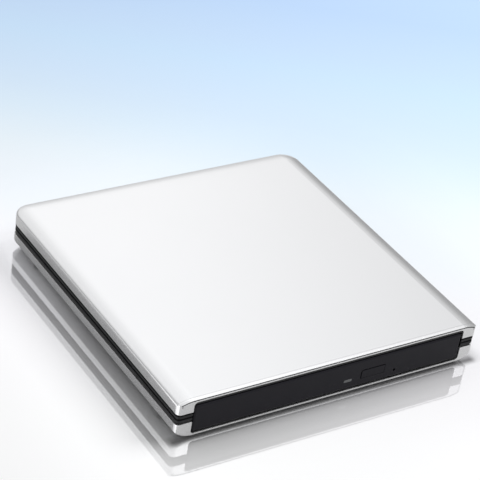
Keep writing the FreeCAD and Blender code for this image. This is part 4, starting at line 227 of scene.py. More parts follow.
class Graph:
    """Adds shader nodes to one node tree, with inputs given by name or number."""

    def __init__(self, tree):
        self.tree = tree

    def add(self, kind, inputs=None, **settings):
        node = self.tree.nodes.new("ShaderNode" + kind)
        for name, value in settings.items():
            setattr(node, name, value)
        for key, value in (inputs or {}).items():
            self.put(node.inputs[key], value)
        return node

    def put(self, socket, value):
        if isinstance(value, bpy.types.NodeSocket):
            self.tree.links.new(value, socket)
        elif socket.type == "RGBA" and len(value) == 3:
            socket.default_value = (*value, 1.0)
        else:
            socket.default_value = value

    def math(self, operation, first, second=0.0):
        return self.add("Math", {0: first, 1: second}, operation=operation).outputs[0]

    def product(self, first, *others):
        for value in others:
            first = self.math("MULTIPLY", first, value)
        return first

    def spread(self, value, low, high, to_low=0.0, to_high=1.0, smooth=False):
        """Maps a value's range to another, clamped at both ends."""
        inputs = {"Value": value, "From Min": low, "From Max": high}
        inputs.update({"To Min": to_low, "To Max": to_high})
        kind = "SMOOTHSTEP" if smooth else "LINEAR"
        return self.add("MapRange", inputs, interpolation_type=kind).outputs[0]

    def vector(self, operation, first, second=(0.0, 0.0, 0.0), output="Vector"):
        return self.add("VectorMath", {0: first, 1: second}, operation=operation).outputs[output]

    def split(self, vector):
        """The three values of a vector."""
        return self.add("SeparateXYZ", {0: vector}).outputs

    def grey(self, colour):
        """The red value of a colour, taken as a grey."""
        return self.add("SeparateColor", {0: colour}).outputs[0]

    def ramp(self, value, stops):
        """Smooth curve of colours or greys through stops, each a value and what it becomes."""
        low, high = stops[0][0], stops[-1][0]
        node = self.add("ValToRGB", {0: self.spread(value, low, high)})
        elements = node.color_ramp.elements
        elements.remove(elements[0])
        for index, (place, shade) in enumerate(stops):
            position = (place - low) / (high - low)
            element = elements.new(position) if index else elements[0]
            element.position = position
            colour = shade if isinstance(shade, tuple) else (shade, shade, shade)
            element.color = (*colour, 1.0)
        return node.outputs[0]

    def mix(self, factor, first, second):
        node = self.add("Mix", data_type="RGBA")
        self.put(node.inputs[0], factor)
        self.put(node.inputs[6], first)
        self.put(node.inputs[7], second)
        return node.outputs[2]


class Finish(Graph):
    """One material: a principled shader with patterns placed in the part's own frame."""

    def __init__(self, name):
        material = bpy.data.materials.new(name)
        material.use_nodes = True
        super().__init__(material.node_tree)
        self.material = material
        self.shader = material.node_tree.nodes["Principled BSDF"]
        self.place = self.add("TexCoord").outputs["Object"]

    def set(self, name, value):
        self.put(self.shader.inputs[name], value)

    def stretched(self, x, y, z):
        return self.add("Mapping", {"Vector": self.place, "Scale": (x, y, z)}).outputs[0]

    def noise(self, size, detail=3.0, place=None):
        """Soft random pattern from 0 to 1 whose features are about size across, in metres."""
        inputs = {
            "Vector": place or self.place,
            "Scale": 1 / size,
            "Detail": detail,
            "Roughness": NOISE_ROUGHNESS,
        }
        return self.add("TexNoise", inputs).outputs[0]

    def cells(self, size, output="Distance", place=None):
        """Random cells about size across, as the distance from each middle or as a colour."""
        inputs = {"Vector": place or self.place, "Scale": 1 / size}
        return self.add("TexVoronoi", inputs, feature="F1").outputs[output]

    def bands(self, scale, direction):
        inputs = {"Vector": self.place, "Scale": scale}
        wave = self.add("TexWave", inputs, wave_type="BANDS", bands_direction=direction)
        return wave.outputs[1]

    def uneven(self, pattern, low, high):
        """Value that a soft pattern moves between two limits."""
        return self.spread(pattern, *PATTERN_RANGE, low, high)

    def weigh(self, first, share, second):
        """Two patterns added in shares that make one."""
        rest = self.math("MULTIPLY", second, 1 - share)
        return self.math("ADD", self.math("MULTIPLY", first, share), rest)

    def vary(self, colour, factor, amount):
        """Colour that goes from a little darker to a little lighter as factor goes 0 to 1."""
        light = tuple(min(1.0, value * (1 + amount)) for value in colour)
        return self.mix(factor, scaled(colour, 1 - amount), light)

    def relief(self, height, depth, normal=None):
        """Bump of a real depth in metres."""
        inputs = {"Height": height, "Strength": 1.0, "Distance": depth}
        if normal is not None:
            inputs["Normal"] = normal
        return self.add("Bump", inputs).outputs[0]

    def rim_distance(self, low, high, front_radius, rear_radius):
        """Distance outside a rounded rectangle in plan, negative inside it."""
        x, y, _ = self.split(self.place)
        middle = [(low[axis] + high[axis]) / 2 for axis in (0, 1)]
        half = [(high[axis] - low[axis]) / 2 for axis in (0, 1)]
        radius = self.spread(y, middle[1] - MM, middle[1] + MM, front_radius, rear_radius)
        past = []
        for value, centre, reach in zip((x, y), middle, half):
            side = self.math("ABSOLUTE", self.math("SUBTRACT", value, centre))
            past.append(self.math("ADD", self.math("SUBTRACT", side, reach), radius))
        corner = [self.math("MAXIMUM", value, 0.0) for value in past]
        square = self.math("ADD", *(self.math("POWER", value, 2.0) for value in corner))
        inside = self.math("MINIMUM", self.math("MAXIMUM", *past), 0.0)
        outside = self.math("SQRT", square)
        return self.math("SUBTRACT", self.math("ADD", outside, inside), radius)

    def case_distance(self):
        """Distance outside the case's outline in plan, negative inside it."""
        return self.rim_distance(*CAD_BOX, CASE_FRONT_RADIUS, CASE_REAR_RADIUS)

    def between(self, value, low, high):
        """One between two limits and nought beyond them."""
        rise = self.spread(value, low - MASK_BLUR, low + MASK_BLUR)
        fall = self.spread(value, high - MASK_BLUR, high + MASK_BLUR, 1.0, 0.0)
        return self.product(rise, fall)

    def box_mask(self, low, high):
        """One inside a box and nought outside it."""
        limits = zip(self.split(self.place), low, high)
        return self.product(*(self.between(*limit) for limit in limits))

    def soft_edges(self, radius):
        return self.add("Bevel", {"Radius": radius}, samples=BEVEL_SAMPLES).outputs[0]


def groove_shade_mask(finish):
    """Inside of the groove under the front lip, which falls with the roof at both ends, where shade
    is painted.
    """
    x, y, z = finish.split(finish.place)
    aside = finish.math("ABSOLUTE", x)
    past = finish.math("MAXIMUM", finish.math("SUBTRACT", aside, GROOVE_FALL_FROM), 0.0)
    fall = finish.math("DIVIDE", finish.math("POWER", past, 2.0), 2 * GROOVE_FALL_RADIUS)
    level = finish.math("ADD", z, fall)
    inside = finish.math("LESS_THAN", finish.case_distance(), GROOVE_INSIDE)
    near = finish.math("LESS_THAN", y, GROOVE_BACK)
    short = finish.math("LESS_THAN", aside, GROOVE_REACH)
    return finish.product(inside, near, short, finish.between(level, *GROOVE_Z))


def rim_line_mask(finish):
    """Fine line that runs round the roof just inside its rim."""
    distance = finish.rim_distance(
        RIM_LINE_LOW, RIM_LINE_HIGH, RIM_LINE_FRONT_RADIUS, RIM_LINE_REAR_RADIUS
    )
    half = RIM_LINE_WIDTH / 2
    away = finish.math("ABSOLUTE", distance)
    line = finish.spread(away, RIM_LINE_CORE * half, half, 1.0, 0.0, smooth=True)
    height = finish.split(finish.place)[2]
    return finish.product(line, finish.spread(height, *RIM_LINE_RISE))


def silver_lacquer(name, colour):
    """Fine metallic paint under clear lacquer, a little uneven from spraying."""
    flake_size, cloud_size, haze_size, spray_size = 0.00012, 0.05, 0.022, 0.0016
    sparkle, unevenness, spray_depth, edge = 0.05, 0.010, 0.0000004, 0.00018
    finish = Finish(name)
    flakes = finish.product(finish.spread(finish.cells(flake_size), 0.0, 0.6), sparkle)
    clouds = finish.noise(cloud_size, 2.0)
    paint = finish.mix(flakes, finish.vary(colour, clouds, unevenness), (1, 1, 1))
    line = rim_line_mask(finish)
    # Painted shade: the rim line's colour is darkened by RIM_LINE_SHADE, beside its real bump
    line_shaded = finish.mix(line, paint, scaled(colour, RIM_LINE_SHADE))
    # Painted shade: GROOVE_SHADE darkens the colour inside the groove under the front lip
    finish.set("Base Color", finish.mix(groove_shade_mask(finish), line_shaded, GROOVE_SHADE))
    finish.set("Metallic", 0.88)
    finish.set("Roughness", finish.uneven(finish.noise(haze_size), 0.20, 0.225))
    finish.set("Coat Weight", 0.25)
    finish.set("Coat Roughness", 0.06)
    sprayed = finish.relief(finish.noise(spray_size, 2.0), spray_depth, finish.soft_edges(edge))
    finish.set("Normal", finish.relief(finish.product(line, -1.0), RIM_LINE_DEPTH, sprayed))
    return finish.material


def moulded(name, colour, gloss, grain_size, grain_depth, sheen=0.35):
    """Moulded plastic: spark-eroded grain, faint flow marks and softened edges."""
    flow_size, flow_tone, rubbed_size, edge = 0.018, 0.10, 0.007, 0.00015
    finish = Finish(name)
    flow = finish.noise(flow_size, place=finish.stretched(0.35, 1.0, 1.6))
    grain = finish.noise(grain_size)
    pits = finish.cells(1.7 * grain_size)
    rubbed = finish.uneven(finish.noise(rubbed_size, 4.0), -0.03, 0.03)
    finish.set("Base Color", finish.vary(colour, flow, flow_tone))
    rough = finish.math("ADD", rubbed, 1 - gloss)
    finish.set("Roughness", finish.math("ADD", rough, finish.uneven(grain, -0.02, 0.02)))
    finish.set("Specular IOR Level", sheen)
    height = finish.math("ADD", grain, finish.product(pits, 0.5))
    finish.set("Normal", finish.relief(height, grain_depth, finish.soft_edges(edge)))
    return finish.material


def gloss_black(name, colour):
    """Glossy ribbed plastic, lighter on the ribs than in the grooves between, where shade is
    painted.
    """
    tone_size, mark_size, ripple_size, ripple_depth, edge = 0.012, 0.004, 0.0009, 0.000002, 0.00012
    finish = Finish(name)
    marks = finish.noise(mark_size, 4.0, finish.stretched(1.0, 1.0, 0.3))
    # Painted shade: the grooves between the ribs keep only RIB_ROOT_SHADE of the colour
    rib_face_share = finish.spread(finish.case_distance(), RIB_ROOT, RIB_FACE)
    face = finish.vary(colour, finish.noise(tone_size), 0.15)
    finish.set("Base Color", finish.mix(rib_face_share, scaled(colour, RIB_ROOT_SHADE), face))
    finish.set("Roughness", finish.uneven(marks, 0.26, 0.36))
    finish.set("Specular IOR Level", 0.2)
    ripple = finish.noise(ripple_size, 2.0)
    finish.set("Normal", finish.relief(ripple, ripple_depth, finish.soft_edges(edge)))
    return finish.material


def smoky_light(name, colour):
    """Light window: milky plastic with faint vertical ribs on its back."""
    rib_scale, rib_shade, rib_depth, haze_size = 550.0, 0.8, 0.00001, 0.0008
    finish = Finish(name)
    ribs = finish.bands(rib_scale, "X")
    finish.set("Base Color", finish.mix(ribs, scaled(colour, rib_shade), colour))
    finish.set("Roughness", finish.uneven(finish.noise(haze_size), 0.2, 0.3))
    finish.set("Coat Weight", 0.3)
    finish.set("Normal", finish.relief(ribs, rib_depth))
    return finish.material


def metal(
    name, colour, rough, grain=(1.0, 0.02, 1.0), grain_size=0.0004, depth=0.0000015, insert=None
):
    """Worked metal with fine streaks over cloudy patches, black plastic inside an insert's box."""
    cloud_size, patch_tone, edge = 0.011, 0.06, 0.0001
    insert_colour = (0.012, 0.012, 0.013)
    finish = Finish(name)
    streaks = finish.noise(grain_size, 4.0, finish.stretched(*grain))
    clouds = finish.noise(cloud_size, 4.0)
    shade = finish.vary(colour, finish.weigh(streaks, 0.5, clouds), patch_tone)
    if insert:
        inside = finish.box_mask(*insert)
        finish.set("Base Color", finish.mix(inside, shade, insert_colour))
        finish.set("Metallic", finish.math("SUBTRACT", 1.0, inside))
    else:
        finish.set("Base Color", shade)
        finish.set("Metallic", 1.0)
    streaked = finish.uneven(streaks, rough - 0.05, rough + 0.05)
    finish.set("Roughness", finish.math("ADD", streaked, finish.uneven(clouds, -0.03, 0.03)))
    finish.set("Normal", finish.relief(streaks, depth, finish.soft_edges(edge)))
    return finish.material


def zinc_sheet(name, colour):
    """Zinc plated sheet: rolled streaks along Y with faint crystal patches."""
    streak_size, crystal_size, streak_depth, edge = 0.0005, 0.006, 0.000002, 0.0001
    finish = Finish(name)
    streaks = finish.noise(streak_size, 4.0, finish.stretched(1.0, 0.03, 1.0))
    crystals = finish.grey(finish.cells(crystal_size, "Color"))
    tone = finish.weigh(streaks, 0.55, crystals)
    finish.set("Base Color", finish.vary(colour, tone, 0.09))
    finish.set("Metallic", 1.0)
    finish.set("Roughness", finish.spread(tone, 0.2, 0.8, 0.28, 0.40))
    finish.set("Normal", finish.relief(streaks, streak_depth, finish.soft_edges(edge)))
    return finish.material


def copper_winding(name, colour):
    """Enamelled wire, wound in fine even rows."""
    row_scale, row_shade, row_depth, enamel_size = 900.0, 0.45, 0.00004, 0.0012
    finish = Finish(name)
    rows = finish.bands(row_scale, "Z")
    finish.set("Base Color", finish.mix(rows, scaled(colour, row_shade), colour))
    finish.set("Metallic", 0.9)
    finish.set("Roughness", finish.uneven(finish.noise(enamel_size), 0.24, 0.38))
    finish.set("Normal", finish.relief(rows, row_depth))
    return finish.material


def rubber(name, colour):
    """Matt rubber with fine pores and grey dust in patches."""
    dust_size, dust_colour, edge = 0.004, (0.09, 0.09, 0.09), 0.0001
    pore_size, pit_size, pore_depth = 0.0003, 0.0006, 0.000012
    finish = Finish(name)
    dust = finish.noise(dust_size, 5.0)
    finish.set("Base Color", finish.mix(finish.spread(dust, 0.45, 0.8), colour, dust_colour))
    finish.set("Roughness", finish.uneven(dust, 0.72, 0.88))
    finish.set("Specular IOR Level", 0.3)
    pores = finish.math("ADD", finish.noise(pore_size), finish.cells(pit_size))
    finish.set("Normal", finish.relief(pores, pore_depth, finish.soft_edges(edge)))
    return finish.material


def solder_mask(name, colour):
    """Circuit board: tracks and pads that show through a green mask."""
    pad_spacing, pad_colour, haze_size, track_depth = 0.0023, (0.72, 0.68, 0.55), 0.003, 0.00003
    finish = Finish(name)
    flat = finish.stretched(1.0, 1.0, 0.0)
    pattern = {
        "Vector": flat,
        "Scale": 260.0,
        "Mortar Size": 0.06,
        "Color1": (0.0, 0.0, 0.0),
        "Color2": (0.0, 0.0, 0.0),
        "Mortar": (1.0, 1.0, 1.0),
        "Brick Width": 0.9,
        "Row Height": 0.22,
    }
    line = finish.grey(finish.add("TexBrick", pattern, offset=0.37).outputs[0])
    pads = finish.spread(finish.cells(pad_spacing, place=flat), 0.10, 0.14, 1.0, 0.0)
    over_track = tuple(min(1.0, 2.1 * value + 0.01) for value in colour)
    finish.set("Base Color", finish.mix(pads, finish.mix(line, colour, over_track), pad_colour))
    finish.set("Roughness", finish.uneven(finish.noise(haze_size), 0.28, 0.42))
    finish.set("Normal", finish.relief(finish.math("ADD", line, pads), track_depth))
    return finish.material


def printed_film(name, colour):
    """Flat flexible cable: grey conductors seen through white film."""
    pitch, track_shade, track_depth, haze_size = 0.001, 0.62, 0.00002, 0.002
    finish = Finish(name)
    across = finish.split(finish.place)[0]
    phase = finish.math("FRACT", finish.product(across, 1 / pitch))
    side = finish.math("ABSOLUTE", finish.math("SUBTRACT", phase, 0.5))
    track = finish.spread(side, 0.22, 0.3, 1.0, 0.0)
    finish.set("Base Color", finish.mix(track, colour, scaled(colour, track_shade)))
    finish.set("Roughness", finish.uneven(finish.noise(haze_size), 0.34, 0.46))
    finish.set("Normal", finish.relief(track, track_depth))
    return finish.material


def coated_glass(name, colour):
    """Clear lens with a violet coating."""
    tone_size, haze_size = 0.002, 0.0008
    finish = Finish(name)
    finish.set("Base Color", finish.vary(colour, finish.noise(tone_size), 0.03))
    finish.set("Roughness", finish.uneven(finish.noise(haze_size), 0.01, 0.03))
    finish.set("Transmission Weight", 0.8)
    finish.set("IOR", 1.52)
    finish.set("Coat Weight", 0.6)
    finish.set("Coat Tint", (0.55, 0.5, 1.0))
    return finish.material


def plastic(gloss, grain_size, grain_depth, **more):
    """Settings of one moulded plastic."""
    return {"gloss": gloss, "grain_size": grain_size, "grain_depth": grain_depth, **more}


SATIN_BLACK = (0.0048, 0.0040, 0.0085)
BRIGHT_STEEL = (0.72, 0.72, 0.72)
BRIGHT_STEEL_ROUGHNESS = 0.18
EVEN_GRAIN = (1.0, 1.0, 1.0)
FINISHES = {
    "silver_shell": (silver_lacquer, (0.86, 0.86, 0.865), {}),
    "band_plastic": (gloss_black, (0.024, 0.024, 0.026), {}),
    "bezel_plastic": (moulded, SATIN_BLACK, plastic(0.60, 0.00022, 0.000002, sheen=0.26)),
    "button_plastic": (moulded, SATIN_BLACK, plastic(0.58, 0.00022, 0.000002, sheen=0.26)),
    "light_plastic": (smoky_light, (0.15, 0.155, 0.16), {}),
    "tray_plastic": (moulded, (0.028, 0.028, 0.030), plastic(0.42, 0.00035, 0.000008)),
    "guide_plastic": (moulded, (0.66, 0.65, 0.61), plastic(0.62, 0.0004, 0.000002, sheen=0.5)),
    "sheet_steel": (zinc_sheet, (0.60, 0.60, 0.59), {}),
    "bright_steel": (metal, BRIGHT_STEEL, {"rough": BRIGHT_STEEL_ROUGHNESS}),
    "screw_steel": (metal, (0.36, 0.36, 0.37), {"rough": 0.34, "grain": EVEN_GRAIN}),
    "motor_copper": (copper_winding, (0.72, 0.33, 0.16), {}),
    "screw_brass": (metal, (0.74, 0.58, 0.30), {"rough": 0.22, "grain": (0.1, 0.1, 1.0)}),
    "foot_rubber": (rubber, (0.022, 0.022, 0.023), {}),
    "damper_rubber": (rubber, (0.035, 0.035, 0.040), {}),
    "circuit_board": (solder_mask, (0.012, 0.115, 0.045), {}),
    "chip_plastic": (moulded, (0.02, 0.02, 0.021), plastic(0.45, 0.0002, 0.000004)),
    "connector_plastic": (moulded, (0.03, 0.03, 0.032), plastic(0.5, 0.0003, 0.000003)),
    "ribbon_film": (printed_film, (0.80, 0.80, 0.77), {}),
    "carriage_metal": (
        metal,
        (0.47, 0.48, 0.50),
        {"rough": 0.45, "grain": EVEN_GRAIN, "grain_size": 0.0007, "depth": 0.00001},
    ),
    "lens_glass": (coated_glass, (0.75, 0.85, 0.95), {}),
}
MATERIALS = {slot: make(slot, colour, **more) for slot, (make, colour, more) in FINISHES.items()}


def dress(piece, slot):
    """Gives a piece one material and says which slot of the record it is."""
    piece.data.materials.clear()
    piece.data.materials.append(MATERIALS[slot])


for part in frame["record"]["subparts"]:
    dress(NODES[part["node"]], part["material_slot"])

# The inlet's shell is steel and its tongue is plastic
TONGUE_HALF = Vector((1.95, 5.0, 0.47)) * MM
SOCKET_LOW, SOCKET_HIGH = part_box("inlet_socket")
TONGUE_MIDDLE = (SOCKET_LOW + SOCKET_HIGH) / 2
TONGUE_BOX = (TONGUE_MIDDLE - TONGUE_HALF, TONGUE_MIDDLE + TONGUE_HALF)
NODES["inlet_socket"].data.materials[0] = metal(
    "socket_steel", BRIGHT_STEEL, BRIGHT_STEEL_ROUGHNESS, insert=TONGUE_BOX
)


def new_mesh(name, points, faces, smooth=True):
    mesh = bpy.data.meshes.new(name)
    mesh.from_pydata(points, [], faces)
    mesh.validate()
    mesh.update()
    for face in mesh.polygons:
        face.use_smooth = smooth
    piece = bpy.data.objects.new(name, mesh)
    bpy.context.scene.collection.objects.link(piece)
    return piece


# Ribbon cable: two legs that share a fold, which on the real drive moves at half the tray's speed;
# here the legs are fixed.
# Its root goes RIBBON_PLUG into the socket, and from there it runs level and then down a ramp to
# the floor.
RIBBON_SHEET = 0.12 * MM
RIBBON_GAP = 0.1 * MM
RIBBON_FOLD_STEPS = 14
RIBBON_LEG_STEPS = 60
RIBBON_PLUG = 1.2 * MM
RIBBON_LEVEL = 1.3 * MM
RIBBON_RAMP = 2.2 * MM
CHASSIS_SHEET = 0.5 * MM


def ribbon_rows():
    """Side view of the cable from its root in the case to its end in the tray, as y and z."""
    low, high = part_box("ribbon_cable")
    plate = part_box("tray_bottom_plate")[0].z
    floor_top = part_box("drive_chassis")[0].z + CHASSIS_SHEET
    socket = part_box("ribbon_socket")
    tray_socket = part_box("tray_ribbon_socket")
    bottom = floor_top + RIBBON_GAP + RIBBON_SHEET / 2
    top = plate - RIBBON_GAP - RIBBON_SHEET / 2
    root_z = (socket[0].z + socket[1].z) / 2
    ramp_end = socket[0].y - RIBBON_LEVEL
    ramp_start = ramp_end - RIBBON_RAMP
    radius = (top - bottom) / 2
    fold_y = low.y + radius
    end_y = (tray_socket[0].y + tray_socket[1].y) / 2
    lower = [(socket[1].y - RIBBON_PLUG, root_z), (ramp_end, root_z)]
    span = (ramp_start - fold_y) / RIBBON_LEG_STEPS
    lower += [(ramp_start - span * step, bottom) for step in range(RIBBON_LEG_STEPS)]
    fold = []
    for step in range(RIBBON_FOLD_STEPS + 1):
        angle = math.pi * step / RIBBON_FOLD_STEPS
        fold.append((fold_y - radius * math.sin(angle), bottom + radius * (1 - math.cos(angle))))
    span = (end_y - fold_y) / RIBBON_LEG_STEPS
    upper = [(fold_y + span * step, top) for step in range(1, RIBBON_LEG_STEPS)]
    upper += [(end_y, top), (end_y, high.z)]
    half = RIBBON_FOLD_STEPS // 2
    return lower + fold[: half + 1], fold[half:] + upper


def ribbon_leg(name, rows):
    """Thin strip along the rows, with its thickness laid half to each side."""
    low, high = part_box("ribbon_cable")
    points = []
    for index, (y, z) in enumerate(rows):
        before = Vector(rows[max(index - 1, 0)])
        after = Vector(rows[min(index + 1, len(rows) - 1)])
        along = (after - before).normalized()
        off = Vector((-along.y, along.x)) * RIBBON_SHEET / 2
        for x in (low.x, high.x):
            points.append((x, y + off.x, z + off.y))
            points.append((x, y - off.x, z - off.y))
    faces = []
    for index in range(len(rows) - 1):
        a = 4 * index
        b = a + 4
        faces += [(a, b, b + 2, a + 2), (a + 1, a + 3, b + 3, b + 1)]
        faces += [(a, a + 1, b + 1, b), (a + 2, b + 2, b + 3, a + 3)]
    last = 4 * (len(rows) - 1)
    faces += [(0, 2, 3, 1), (last, last + 1, last + 3, last + 2)]
    piece = new_mesh(name, points, faces, smooth=False)
    dress(piece, "ribbon_film")
    return piece


def ribbon():
    """Two legs of the cable, built as fixed meshes that share a fold, in place of the CAD cable."""
    lower_rows, upper_rows = ribbon_rows()
    lower = ribbon_leg("ribbon_lower_leg", lower_rows)
    upper = ribbon_leg("ribbon_upper_leg", upper_rows)
    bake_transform(lower)
    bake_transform(upper)
    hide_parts("ribbon_cable")
    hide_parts("ribbon_cable")


ribbon()


# Cover stakes on the sled's axes. The profile gives shares of radius and height from the top down.
SLED_ANGLE = math.radians(-50)
STAKE_RADIUS = 1.0 * MM
STAKE_HEIGHT = 0.38 * MM
STAKE_PROFILE = ((0, 0.78), (0.25, 0.8), (0.5, 1), (0.78, 0.86), (0.95, 0.5), (1, 0.2), (1, 0))
STAKE_STEPS = 28
STAKE_RING = 17.7 * MM
STAKE_RING_ANGLE = math.radians(112)
STAKE_ARM = (41.0 * MM, 9.6 * MM)

# Lens suspension wires, with their ends tucked into the yoke and the holder
YOKE_FACE = 18.4 * MM
HOLDER_FACE = 20.0 * MM
WIRE_RADIUS = 0.06 * MM
WIRE_SIDE = 3.6 * MM
WIRE_RISES = (0.1 * MM, 0.3 * MM)
WIRE_TUCK = 0.2 * MM
WIRE_ROWS = 9
WIRE_STEPS = 8

# Inlet contacts, which lie on the tongue. The nose gives distances from the rear end and shares
# of the sheet's thickness.
CONTACT_PITCH = 0.8 * MM
CONTACT_HALF = 0.18 * MM
CONTACT_SHEET = 0.07 * MM
CONTACT_RISE = 0.45 * MM
CONTACT_FRONT = 1.2 * MM
CONTACT_REAR = 1.25 * MM
CONTACT_NOSE = ((0.5 * MM, 1.0), (0.2 * MM, 0.8), (0.0, 0.0))


def from_hub(u, v, z):
    """Point in the drive from one on the sled's own axes, which start at the turntable."""
    low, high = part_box("disc_hub")
    turned = Matrix.Rotation(SLED_ANGLE, 3, "Z") @ Vector((u, v, 0))
    return turned + Vector(((low.x + high.x) / 2, (low.y + high.y) / 2, z))


def turned_piece(name, places, profile, steps):
    """Round pieces about upright axes: profile gives radius and height from the top down."""
    points = []
    faces = []
    for place in places:
        top = len(points)
        points.append(place + Vector((0, 0, profile[0][1])))
        for radius, height in profile[1:]:
            for step in range(steps):
                angle = 2 * math.pi * step / steps
                reach = Vector((radius * math.cos(angle), radius * math.sin(angle), height))
                points.append(place + reach)
        for step in range(steps):
            after = (step + 1) % steps
            faces.append((top, top + 1 + step, top + 1 + after))
            for ring in range(len(profile) - 2):
                first = top + 1 + ring * steps
                low = first + steps
                faces.append((first + step, low + step, low + after, first + after))
        last = top + 1 + (len(profile) - 2) * steps
        faces.append(tuple(last + step for step in reversed(range(steps))))
    return new_mesh(name, points, faces)


def cover_stakes():
    """Melted plastic heads that hold the traverse cover to the tray."""
    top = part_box("traverse_cover")[1].z
    places = [(-STAKE_RING, 0)]
    for side in (-1, 1):
        angle = STAKE_RING_ANGLE * side
        places.append((STAKE_RING * math.cos(angle), STAKE_RING * math.sin(angle)))
        places.append((STAKE_ARM[0], STAKE_ARM[1] * side))
    middles = [from_hub(*place, top) for place in places]
    profile = [(STAKE_RADIUS * radius, STAKE_HEIGHT * height) for radius, height in STAKE_PROFILE]
    stakes = turned_piece("cover_stakes", middles, profile, STAKE_STEPS)
    dress(stakes, "tray_plastic")
    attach(stakes, "tray")


def suspension_wires():
    """Four spring wires that carry the lens holder and let it rise and fall."""
    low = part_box("lens_holder")[0].z
    length = HOLDER_FACE - YOKE_FACE + 2 * WIRE_TUCK
    points = []
    faces = []
    for side in (-1, 1):
        for rise in WIRE_RISES:
            first = len(points)
            for row in range(WIRE_ROWS):
                u = YOKE_FACE - WIRE_TUCK + length * row / (WIRE_ROWS - 1)
                for step in range(WIRE_STEPS):
                    angle = 2 * math.pi * step / WIRE_STEPS
                    v = WIRE_SIDE * side + WIRE_RADIUS * math.cos(angle)
                    points.append(from_hub(u, v, low + rise + WIRE_RADIUS * math.sin(angle)))
            for row in range(WIRE_ROWS - 1):
                for step in range(WIRE_STEPS):
                    a = first + row * WIRE_STEPS + step
                    b = first + row * WIRE_STEPS + (step + 1) % WIRE_STEPS
                    faces.append((a, b, b + WIRE_STEPS, a + WIRE_STEPS))
    wires = new_mesh("suspension_wires", points, faces)
    dress(wires, "screw_brass")
    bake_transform(wires)


def inlet_contacts():
    """Five plated springs on the inlet's tongue, each with a rounded nose at the mouth."""
    low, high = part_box("inlet_socket")
    middle = (low.x + high.x) / 2
    base = (low.z + high.z) / 2 + CONTACT_RISE
    front = low.y + CONTACT_FRONT
    rear = high.y - CONTACT_REAR
    side_view = [(front, 0.0), (front, CONTACT_SHEET)]
    side_view += [(rear - back, share * CONTACT_SHEET) for back, share in CONTACT_NOSE]
    points = []
    faces = []
    for index in range(-2, 3):
        first = len(points)
        last = first + 2 * (len(side_view) - 1)
        x = middle + index * CONTACT_PITCH
        for y, z in side_view:
            points.append((x - CONTACT_HALF, y, base + z))
            points.append((x + CONTACT_HALF, y, base + z))
        for a in range(first, last, 2):
            faces.append((a, a + 1, a + 3, a + 2))
        for edge in (0, 1):
            faces.append(tuple(a + edge for a in range(first, last + 1, 2)))
        faces.append((first, first + 1, last + 1, last))
    contacts = new_mesh("inlet_contacts", points, faces, smooth=False)
    dress(contacts, "screw_brass")
    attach(contacts, "case")


cover_stakes()
suspension_wires()
inlet_contacts()


def painted_corner_light(graph, place):
    """Painted pool of light on the floor, a fan that only the case's rounded front left corner
    reflects, as its highlight.
    """
    x, y, _ = graph.split(place)
    left = graph.math("SUBTRACT", CAD_BOX[0].x, x)
    behind = graph.math("SUBTRACT", y, CAD_BOX[0].y + CORNER_START)
    slope = graph.math("DIVIDE", behind, graph.math("MAXIMUM", left, CORNER_LEAST_REACH))
    low, high = CORNER_SLOPES
    rise = graph.spread(slope, low - CORNER_FADES[0], low)
    fall = graph.spread(slope, high, high + CORNER_FADES[1], 1.0, 0.0)
    return graph.product(rise, fall, graph.math("GREATER_THAN", left, 0.0))


def contact_shade(graph, place, outside, beside):
    """Two factors of the floor's colour: a dark line before the case, a softer one beside it."""
    full = [1.0] * 3
    side, end, _ = graph.split(outside)
    y = graph.split(place)[1]
    front = CAD_BOX[0].y
    under_front = graph.spread(beside, 0.0, CONTACT_REACH, CONTACT_SHADE, 1.0, smooth=True)
    under_front = graph.mix(graph.spread(y, front, front + CONTACT_FADE), under_front, full)
    along = graph.spread(y, *SIDE_FADE, SIDE_SHADE, 1.0, smooth=True)
    under_side = graph.mix(graph.spread(side, 0.0, SIDE_REACH, smooth=True), along, full)
    under_side = graph.mix(graph.spread(end, 0.0, CONTACT_REACH), under_side, full)
    return under_front, under_side


def floor():
    """Plane that the camera sees tinted, shaded and mirroring, and other rays as plain light."""
    half = FLOOR_SIZE / 2
    corners = [(-half, -half, 0), (half, -half, 0), (half, half, 0), (-half, half, 0)]
    plane = new_mesh("floor", corners, [(0, 1, 2, 3)])
    material = bpy.data.materials.new("floor")
    material.use_nodes = True
    graph = Graph(material.node_tree)
    material.node_tree.nodes.remove(material.node_tree.nodes["Principled BSDF"])
    place = graph.add("TexCoord").outputs["Object"]
    seen_by_camera = graph.add("LightPath").outputs["Is Camera Ray"]
    away = graph.vector("DOT_PRODUCT", place, FLOOR_AWAY, "Value")
    tints = [(distance, tuple(linear(value) for value in tint)) for distance, tint in FLOOR_TINTS]
    seen = graph.ramp(away, tints)
    # Painted light: a brighter bounce in the fan before the front left corner, to give that corner
    # its highlight
    bounce = graph.mix(painted_corner_light(graph, place), [FLOOR_BOUNCE] * 3, [CORNER_BOUNCE] * 3)
    outside = graph.vector("SUBTRACT", graph.vector("ABSOLUTE", place), tuple(CAD_BOX[1]))
    outside = graph.vector("MAXIMUM", outside)
    beside = graph.vector("LENGTH", outside, output="Value")
    for shade in contact_shade(graph, place, outside, beside):
        seen = graph.vector("MULTIPLY", seen, shade)
    colour = graph.mix(seen_by_camera, bounce, seen)
    diffuse = graph.add("BsdfDiffuse", {"Color": colour}).outputs[0]
    gloss = {"Color": seen, "Roughness": FLOOR_MIRROR_ROUGHNESS}
    mirror = graph.add("BsdfGlossy", gloss).outputs[0]
    share = graph.product(seen_by_camera, graph.ramp(beside, FLOOR_MIRROR))
    mixed = graph.add("MixShader", {0: share, 1: diffuse, 2: mirror}).outputs[0]
    graph.put(material.node_tree.nodes["Material Output"].inputs["Surface"], mixed)
    plane.data.materials.append(material)


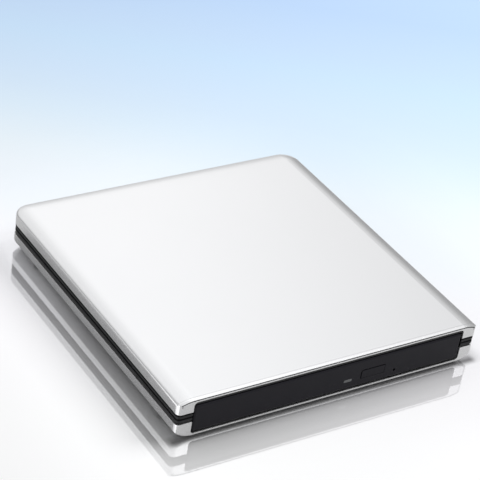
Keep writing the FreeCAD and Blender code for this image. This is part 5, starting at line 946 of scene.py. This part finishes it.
def world():
    scene_world = bpy.data.worlds.new("studio")
    bpy.context.scene.world = scene_world
    scene_world.use_nodes = True
    graph = Graph(scene_world.node_tree)
    direction = graph.add("TexCoord").outputs["Generated"]
    across, _, up = graph.split(direction)
    glow = graph.spread(up, 0.0, SKY_LIGHT_FROM, HORIZON_LIGHT, SKY_LIGHT, smooth=True)
    side = graph.ramp(across, REFLECTED_ACROSS)
    height = graph.ramp(up, REFLECTED_UP)
    gloss = graph.product(side, height, REFLECTED_LIGHT)
    rays = graph.add("LightPath").outputs
    strength = graph.mix(rays["Is Glossy Ray"], glow, gloss)
    seen = graph.mix(rays["Is Camera Ray"], strength, SKY_SEEN)
    tinted = graph.vector("MULTIPLY", seen, SKY_COLOUR)
    graph.put(scene_world.node_tree.nodes["Background"].inputs["Color"], tinted)


def key_softbox():
    """Area lamp that glossy surfaces don't show."""
    lamp = bpy.data.lights.new("key_softbox", "AREA")
    lamp.shape = "RECTANGLE"
    lamp.size = KEY_SIZE
    lamp.size_y = KEY_SIZE
    lamp.energy = KEY_POWER
    box = bpy.data.objects.new("key_softbox", lamp)
    box.location = KEY_PLACE
    box.rotation_euler = (-Vector(KEY_PLACE)).to_track_quat("-Z", "Y").to_euler()
    box.visible_glossy = False
    bpy.context.scene.collection.objects.link(box)


def camera():
    forward = Vector(
        (
            math.sin(CAMERA_AZIMUTH) * math.cos(CAMERA_DROP),
            math.cos(CAMERA_AZIMUTH) * math.cos(CAMERA_DROP),
            -math.sin(CAMERA_DROP),
        )
    )
    right = forward.cross(Vector((0, 0, 1))).normalized()
    level = right.cross(forward)
    up = level * math.cos(CAMERA_ROLL) - right * math.sin(CAMERA_ROLL)
    side = forward.cross(up)
    data = bpy.data.cameras.new("camera")
    data.lens = CAMERA_LENS
    data.sensor_width = CAMERA_SENSOR
    data.clip_start = CAMERA_NEAR
    seat = bpy.data.objects.new("camera", data)
    turn = Matrix((side, up, -forward)).transposed().to_4x4()
    seat.matrix_world = Matrix.Translation(CAMERA_AIM - forward * CAMERA_DISTANCE) @ turn
    bpy.context.scene.collection.objects.link(seat)
    bpy.context.scene.camera = seat


floor()
world()
key_softbox()
camera()
bpy.context.scene.view_settings.view_transform = "Standard"
